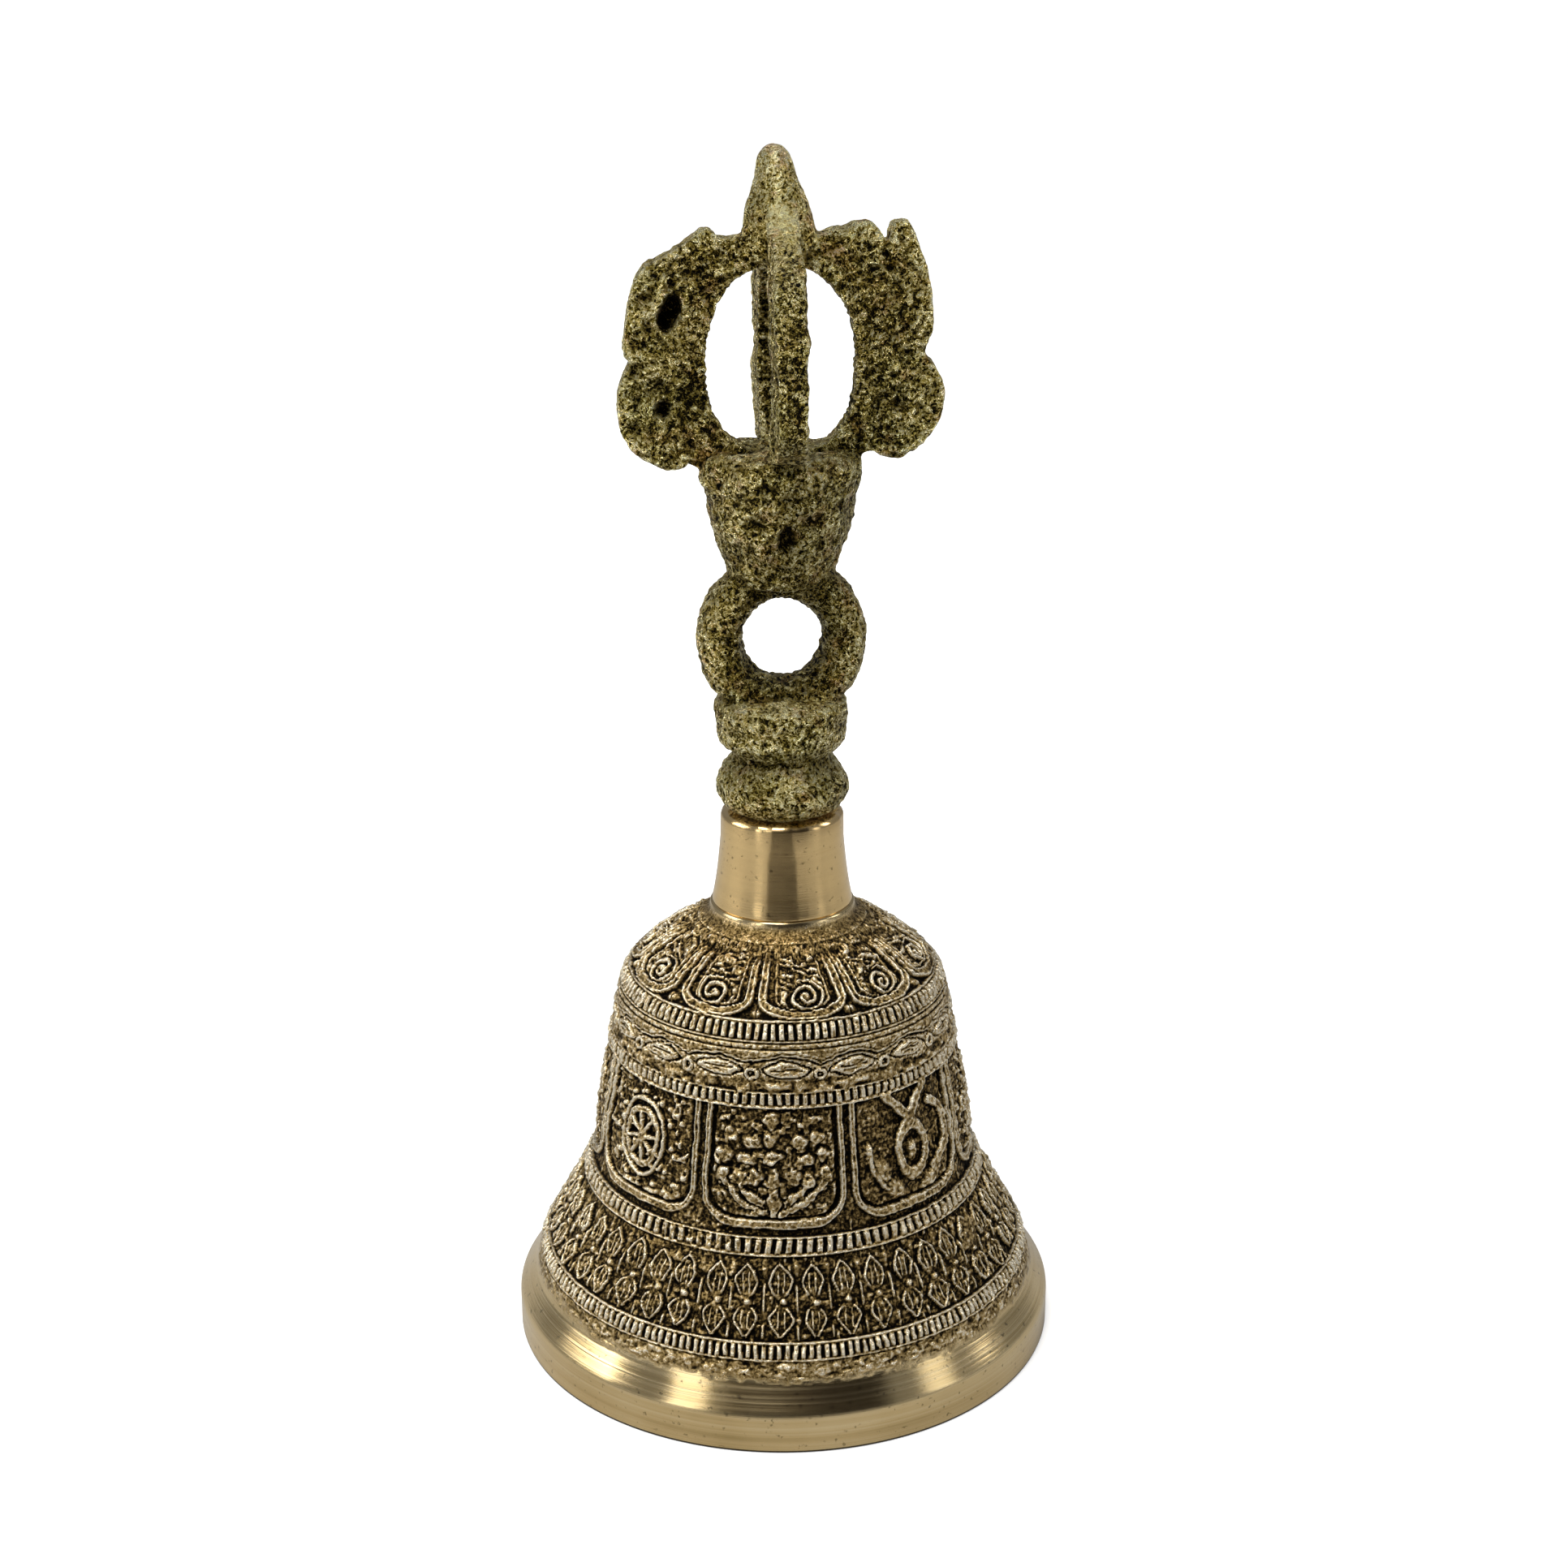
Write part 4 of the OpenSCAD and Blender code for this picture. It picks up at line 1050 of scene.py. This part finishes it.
def sculpt(P, N):
    """Displacement of the handle's surface in millimetres: cast roughness, scrolls, pits and file marks."""
    x, y, z = P.T
    rad = np.hypot(x, y)
    lump = noise3(P, 4.2, 101)
    mid = noise3(P, 1.7, 102)
    small = noise3(P, 0.75, 103)
    grit = noise3(P, 0.42, 104)
    body = smooth(71.2, 72.5, z)
    rough = 0.17 * lump + 0.12 * mid + 0.13 * small + 0.12 * grit
    pits = noise3(P, 0.8, 105)
    rough -= 0.16 * smooth(0.5, 0.85, pits)
    d = body * rough
    warm = np.clip(0.35 + 0.5 * noise3(P, 7.0, 110), 0, 1)

    # prongs: soft scrolls and pits on the flat faces
    worn = 0.35 + 0.65 * smooth(-0.5, 0.4, noise3(P, 1.6, 121))
    for azimuth, kind in ((0, "right"), (180, "left"), (270, "left2"), (90, "right2")):
        t = math.radians(azimuth)
        px, py = x * math.cos(t) + y * math.sin(t), -x * math.sin(t) + y * math.cos(t)
        nx, ny = N[:, 0] * math.cos(t) + N[:, 1] * math.sin(t), -N[:, 0] * math.sin(t) + N[:, 1] * math.cos(t)
        face = (px > 5.5) & (np.abs(py) < 3.2) & (z > 113)
        flat = face * smooth(0.45, 0.85, np.abs(ny))
        rho, phi = np.hypot(px - 14.1, z - 121.8), np.arctan2(z - 121.8, px - 14.1)
        if kind.startswith("right"):
            turn = 1 if azimuth == 0 else -1
            sp = 0.5 + 0.5 * np.cos(TAU * (rho / 1.75 - 0.6 * phi / TAU * turn + 0.15))
            d += flat * worn * 0.13 * (smooth(0.2, 0.9, sp) - 0.5) * (rho < 5.4)
            d -= flat * 0.38 * smooth(0.0, 0.8, bump(np.hypot(px - 14.4 + 0.3 * mid, (z - 122.9) * 1.0 + 0.3 * small), 1.5))
            d += flat * 0.09 * worn * bump(rho - 4.6 - 0.4 * mid, 0.9)
            d -= flat * 0.12 * worn * bump(rho - 5.9 - 0.4 * mid, 0.8) * (z > 120)
            # scroll ridges of the upper lobe
            a = np.degrees(np.arctan2(z - 134.6, px - 12.0)) % 360
            q = np.hypot(px - 12.0, (z - 134.6) * 0.92)
            m = 1 - smooth(190, 225, (a + 80) % 360)
            for k, (rr, hh) in enumerate(((1.9, 0.09), (3.3, 0.13), (4.6, 0.12), (5.6, 0.08))):
                d += flat * worn * m * hh * (bump(q - rr, 0.42) - 0.8 * bump(q - rr - 0.55, 0.35))
            d -= flat * 0.25 * bump(q, 1.3)
            d -= flat * 0.26 * line(z - 128.5 - 0.10 * (px - 12), 0.3, 0.4) * (px > 12.5) * worn
            d -= flat * 0.25 * line(px - 12.3, 0.3, 0.4) * (z > 139.5)
        else:
            d -= flat * 1.55 * smooth(0.05, 0.7, bump(np.hypot((px - 13.2 + 0.22 * (z - 133.6) + 0.25 * small) / 1.65, (z - 133.6 + 0.25 * mid) / 2.75), 1.0))
            d -= flat * 0.55 * smooth(0.0, 0.8, bump(np.hypot(px - 14.2 + 0.3 * mid, z - 122.6 + 0.3 * small), 1.5))
            d += flat * worn * 0.16 * bump(np.hypot(px - 13.2, z - 133.6) - 4.0, 0.8)
            d -= flat * worn * 0.16 * bump(rho - 3.2, 0.7)
            d -= flat * 0.22 * line(z - 128.0 + 0.1 * (px - 12), 0.35, 0.4) * (px > 13.5) * worn
            d += flat * 0.16 * mid
        # smooth filed outer edge with a few fine scratches across it
        edge = (px > 15.0) * smooth(0.5, 0.85, nx) * (np.abs(py) < 2.7) * (z > 117)
        scratch = noise3(np.stack([px * 0.25, py * 0.25, z * 2.6], 1), 1.0, 150 + azimuth)
        keep = 0.35 + 0.65 * smooth(0.55, 0.2, np.abs(z - 129.0) / 4.0)
        d = d * (1 - edge * (1 - keep))
        d += edge * 0.055 * smooth(0.1, 0.6, np.abs(scratch)) - edge * 0.03
        # crumbled inner edge of the opening
        inner = (px > 4.0) & (px < 10.6) & (np.abs(py) < 3.0) & (z > 116.5) & (z < 140)
        ang = np.arctan2(z - 128.0, px)
        d += inner * smooth(0.25, 0.7, -nx + 0.35 * np.abs(N[:, 2])) * 0.085 * np.sin(ang * 55 + 3.5 * np.sin(ang * 9 + azimuth) + 2.0 * mid) * smooth(0.9, 0.5, np.abs(N[:, 2]))

    # head block: rough rim, a pit in front and back, and worn hollows
    head = smooth(101.5, 103, z) * (1 - smooth(117.0, 118, z)) * (rad < 11.5)
    az = np.arctan2(y, x)
    rim = head * smooth(112.5, 113.6, z)
    d += rim * (0.10 * np.cos(az * 9 + 0.6) + 0.34 * noise3(P, 2.2, 130) + 0.20 * noise3(P, 1.0, 131))
    d -= head * 0.14 * bump(z - 112.0 - 0.8 * np.sin(az * 5 + 1) - 0.8 * lump, 1.2) * worn
    for sgn in (-1, 1):
        fr = head * (y * sgn > 0)
        d -= fr * 0.85 * smooth(0.0, 0.9, bump(np.hypot((x - 0.1 + 0.35 * mid + 0.2 * small) / 1.25, (z - 107.3 + 0.3 * mid) / 2.6), 1.0))
        d -= fr * 0.50 * bump(np.hypot((x + 3.7) / 2.1, (z - 109.3) / 1.5), 1.0)
        d -= fr * 0.45 * bump(np.hypot((x - 3.7) / 2.1, (z - 109.7) / 1.5), 1.0)
        d += fr * 0.35 * bump(np.hypot((x - 2.4) / 2.2, (z - 111.5) / 0.9), 1.0)
        d += fr * 0.35 * bump(np.hypot((x + 2.6) / 2.0, (z - 111.3) / 0.9), 1.0)
        d += fr * 0.30 * bump(np.hypot((x + 2.6) / 1.3, (z - 106.0) / 1.8), 1.0)
        d += fr * 0.30 * bump(np.hypot((x - 2.9) / 1.3, (z - 106.2) / 1.8), 1.0)
        d -= fr * 0.30 * bump(np.hypot(x / 2.4, (z - 103.6) / 0.8), 1.0)
    d += head * 0.22 * noise3(P, 2.6, 132) * (1 - smooth(112, 113, z))
    # ring: crumbled hole; the lighter outer shoulder further down is painted light
    q = np.hypot(x, z - 93.7)
    ring = (np.abs(y) < 4.6) & (q < 12) & (z > 84) & (z < 103.5)
    hole = ring * (1 - smooth(5.7, 6.6, q))
    around = np.arctan2(z - 93.7, x)
    d += hole * (0.20 * noise3(P, 0.7, 140) + 0.04 * np.sin(around * 27 + 3 * np.sin(around * 4)))
    d += hole * 0.45 * smooth(0.3, 1.0, -x / 5.0) * smooth(-2.0, 3.0, y) * (0.7 + 0.6 * small)
    # collars: a step above and a soft waist
    col = (z > 71) & (z < 87.5) & (rad > 5.5)
    d += col * 0.12 * np.cos(az * 7 + z) * smooth(82, 84, z)
    d += col * 0.10 * noise3(P, 2.0, 133)
    # the tip: smoother, with a knob where the front prong meets it, coloured bright below as rubbed metal and painted
    # highlight
    tip = smooth(143.5, 145.5, z)
    d = d * (1 - 0.45 * tip)
    knob = bump(np.hypot((x + 0.1) / 2.6, (z - 144.2) / 2.4), 1.0) * (y < -0.5)
    d += 0.35 * knob
    # tone partly from rubbing and partly painted light: tip and knob lighter as rubbed metal and painted highlight,
    # faces turned up or to the front lighter as painted highlight, the middle of the front prong darker as painted
    # shade
    front = (np.abs(x) < 2.2) & (y < -8) & (z > 116)
    rub_and_painted_light = 0.14 * smooth(140.5, 144.5, z) + 0.26 * knob + 0.02 * front * smooth(0.3, 0.8, -N[:, 1]) - 0.07 * (np.abs(x) < 2.6) * (y < -8) * (z > 116)
    rub_and_painted_light += 0.17 * smooth(0.15, 0.7, N[:, 2]) * (z < 88) * smooth(71.5, 73, z) + 0.02 * (z < 88)
    rub_and_painted_light += 0.10 * smooth(0.2, 0.8, N[:, 2]) * (z > 113)
    # painted highlight lines down the sides of the front prong
    rub_and_painted_light += 0.11 * bump(np.abs(x) - 1.75, 0.4) * (y < -9) * (z > 117) * (z < 142)
    # painted shade and light: prongs darker near the opening and lighter towards their outer edges, the ring darker by
    # its hole and lighter on its outer shoulder
    out = smooth(10.0, 17.5, rad) * (z > 117.5) * (z < 141)
    rub_and_painted_light += 0.15 * out * (1.0 - front) - 0.10 * (rad > 8) * (z > 117.5) * (z < 141)
    rub_and_painted_light += ring * (0.10 * smooth(7.0, 9.5, q) - 0.085)
    # keep the spigot true
    d = np.where(z < 71.2, 0, d)
    return d, warm, rub_and_painted_light


handle = make_handle()


# ---------------------------------------------------------------- hardware and clapper: CAD shapes, better finish

def finish_node(name, material):
    ob = bpy.data.objects.get(name)
    if ob is None:
        for o in bpy.data.objects:
            if o.type == "MESH" and o.name.split(".")[0] == name:
                ob = o
                break
    for s in ob.material_slots:
        s.material = material
    if not ob.material_slots:
        ob.data.materials.append(material)
    return ob


for nm in ("eye_bolt", "crown_washer", "crown_nut", "hanger_link", "clapper_rod"):
    finish_node(nm, M_STEEL)
finish_node("clapper_ball", M_BALL)


# ---------------------------------------------------------------- floor, light and camera

def make_stage():
    # pale floor: bright to the camera, with a faint real shadow and a painted shadow where its glow dims near the bell;
    # a plain light grey to everything else
    n = Nodes("floor_white")
    n.t.nodes.remove(n.bsdf)
    tone = n.noise(6.0, 3.0, 0.5)
    near = n.t.nodes.new("ShaderNodeBsdfDiffuse")
    n.put(near.inputs[0], n.ramp(tone, [(0.3, 0.78), (0.7, 0.82)]))
    glow = n.t.nodes.new("ShaderNodeEmission")
    reach = n.t.nodes.new("ShaderNodeVectorMath")
    reach.operation = "LENGTH"
    n.link(n.coord, reach.inputs[0])
    # painted shadow: the glow to the camera is weaker close to the bell
    n.put(glow.inputs[1], n.ramp(reach.outputs["Value"], [(0.03, 0.50), (0.30, 0.84)]))
    both = n.t.nodes.new("ShaderNodeAddShader")
    n.link(near.outputs[0], both.inputs[0])
    n.link(glow.outputs[0], both.inputs[1])
    grey = n.t.nodes.new("ShaderNodeBsdfDiffuse")
    n.put(grey.inputs[0], n.ramp(tone, [(0.3, 0.50), (0.7, 0.56)]))
    path = n.t.nodes.new("ShaderNodeLightPath")
    pick = n.t.nodes.new("ShaderNodeMixShader")
    n.link(path.outputs["Is Camera Ray"], pick.inputs[0])
    n.link(grey.outputs[0], pick.inputs[1])
    n.link(both.outputs[0], pick.inputs[2])
    under = n.value("MULTIPLY", path.outputs["Is Camera Ray"], n.t.nodes.new("ShaderNodeNewGeometry").outputs["Backfacing"])
    clear = n.t.nodes.new("ShaderNodeBsdfTransparent")
    through = n.t.nodes.new("ShaderNodeMixShader")
    n.link(under, through.inputs[0])
    n.link(pick.outputs[0], through.inputs[1])
    n.link(clear.outputs[0], through.inputs[2])
    n.link(through.outputs[0], n.out.inputs[0])
    bm = bmesh.new()
    bmesh.ops.create_grid(bm, x_segments=8, y_segments=8, size=30.0)
    me = bpy.data.meshes.new("floor")
    bm.to_mesh(me)
    bm.free()
    me.materials.append(n.m)
    floor = bpy.data.objects.new("floor", me)
    bpy.context.scene.collection.objects.link(floor)
    floor.visible_shadow = False
    # dark cards in front, which only the polished metal sees: one upright, one lying on the floor
    n = Nodes("card_dark")
    tone = n.noise(9.0, 3.0, 0.5)
    n.finish(n.ramp(tone, [(0.3, (0.006, 0.004, 0.002)), (0.7, (0.014, 0.009, 0.005))]), 0.8, 0.0)
    turn = Matrix.Rotation(math.radians(-4.3), 4, "Z")
    for name, pts in (("card_upright", [(-0.29, -0.66, 0.05), (0.60, -0.66, 0.05), (0.52, -0.42, 1.15), (-0.20, -0.42, 1.15)]),
                      ("card_low", [(-0.065, -0.15, 0.002), (0.065, -0.15, 0.002), (0.32, -0.64, 0.002), (-0.32, -0.64, 0.002)])):
        bm = bmesh.new()
        f = bm.faces.new([bm.verts.new(turn @ Vector(p)) for p in pts])
        bmesh.ops.subdivide_edges(bm, edges=bm.edges[:], cuts=3, use_grid_fill=True)
        me = bpy.data.meshes.new(name)
        bm.to_mesh(me)
        bm.free()
        me.materials.append(n.m)
        card = bpy.data.objects.new(name, me)
        card.visible_camera = False
        card.visible_shadow = False
        card.visible_diffuse = False
        bpy.context.scene.collection.objects.link(card)


make_stage()


def area(name, loc, target, size, power, color=(1, 1, 1)):
    l = bpy.data.lights.new(name, "AREA")
    l.shape = "RECTANGLE"
    l.size, l.size_y = size
    l.energy = power
    l.color = color
    o = bpy.data.objects.new(name, l)
    o.location = loc
    o.rotation_mode = "QUATERNION"
    o.rotation_quaternion = (Vector(target) - Vector(loc)).to_track_quat("-Z", "Y")
    bpy.context.scene.collection.objects.link(o)
    return o


area("top", (-0.18, -0.28, 1.05), (0, 0, 0.08), (0.42, 0.34), 6.8, (1.0, 0.99, 0.96))
area("back", (0.0, 0.75, 0.95), (0, 0, 0.06), (0.9, 0.4), 1.8)
area("side_left", (-0.98, 0.08, 0.60), (0, 0, 0.05), (0.56, 0.5), 4.4, (1.0, 0.985, 0.96))
area("side_right", (0.95, 0.05, 0.62), (0, 0, 0.06), (0.20, 0.4), 1.5, (1.0, 0.99, 0.975))
area("near_left", (-0.66, -0.66, 0.40), (0, 0, 0.07), (0.24, 0.50), 0.9)
area("near_right", (0.80, -0.42, 0.34), (0, 0, 0.07), (0.20, 0.40), 0.35)

inside = area("inside", (0, 0, -0.004), (0, 0, 0.05), (0.046, 0.046), 0.016, (1.0, 0.98, 0.95))
inside.visible_camera = False

world = bpy.data.worlds.new("studio")
world.use_nodes = True
t = world.node_tree
t.nodes.clear()
wout = t.nodes.new("ShaderNodeOutputWorld")
wmix = t.nodes.new("ShaderNodeMixShader")
path = t.nodes.new("ShaderNodeLightPath")
seen = t.nodes.new("ShaderNodeBackground")
seen.inputs[0].default_value = (1, 1, 1, 1)
seen.inputs[1].default_value = 1.2
lit = t.nodes.new("ShaderNodeBackground")
lit.inputs[1].default_value = 0.24
lit.inputs[0].default_value = (0.95, 0.97, 1.0, 1)
t.links.new(path.outputs["Is Camera Ray"], wmix.inputs[0])
t.links.new(lit.outputs[0], wmix.inputs[1])
t.links.new(seen.outputs[0], wmix.inputs[2])
t.links.new(wmix.outputs[0], wout.inputs[0])
bpy.context.scene.world = world

# camera: fitted to the circles of the bell, in units of the lip's radius
R0 = 0.035
D, HGT, PITCH, ROLL, FOCAL, TURN = 7.961 * R0, 4.793 * R0, math.radians(18.51), math.radians(0.2), 2862.0, math.radians(-4.3)
cam_data = bpy.data.cameras.new("camera")
cam_data.sensor_width = 36.0
cam_data.lens = FOCAL / 1932 * 36.0
cam_data.shift_x = 0.0014
cam_data.clip_start, cam_data.clip_end = 0.01, 20
cam = bpy.data.objects.new("camera", cam_data)
spin = Matrix.Rotation(TURN, 3, "Z")
right, fwd = spin @ Vector((1, 0, 0)), spin @ Vector((0, math.cos(PITCH), -math.sin(PITCH)))
up = spin @ Vector((0, math.sin(PITCH), math.cos(PITCH)))
right2 = right * math.cos(ROLL) - up * math.sin(ROLL)
up2 = up * math.cos(ROLL) + right * math.sin(ROLL)
m = Matrix((right2, up2, -fwd)).transposed().to_4x4()
m.translation = spin @ Vector((0, -D, HGT))
cam.matrix_world = m
bpy.context.scene.collection.objects.link(cam)
bpy.context.scene.camera = cam

vs = bpy.context.scene.view_settings
vs.view_transform = "Standard"
vs.look = "None"
vs.exposure = 0.0
vs.gamma = 1.0
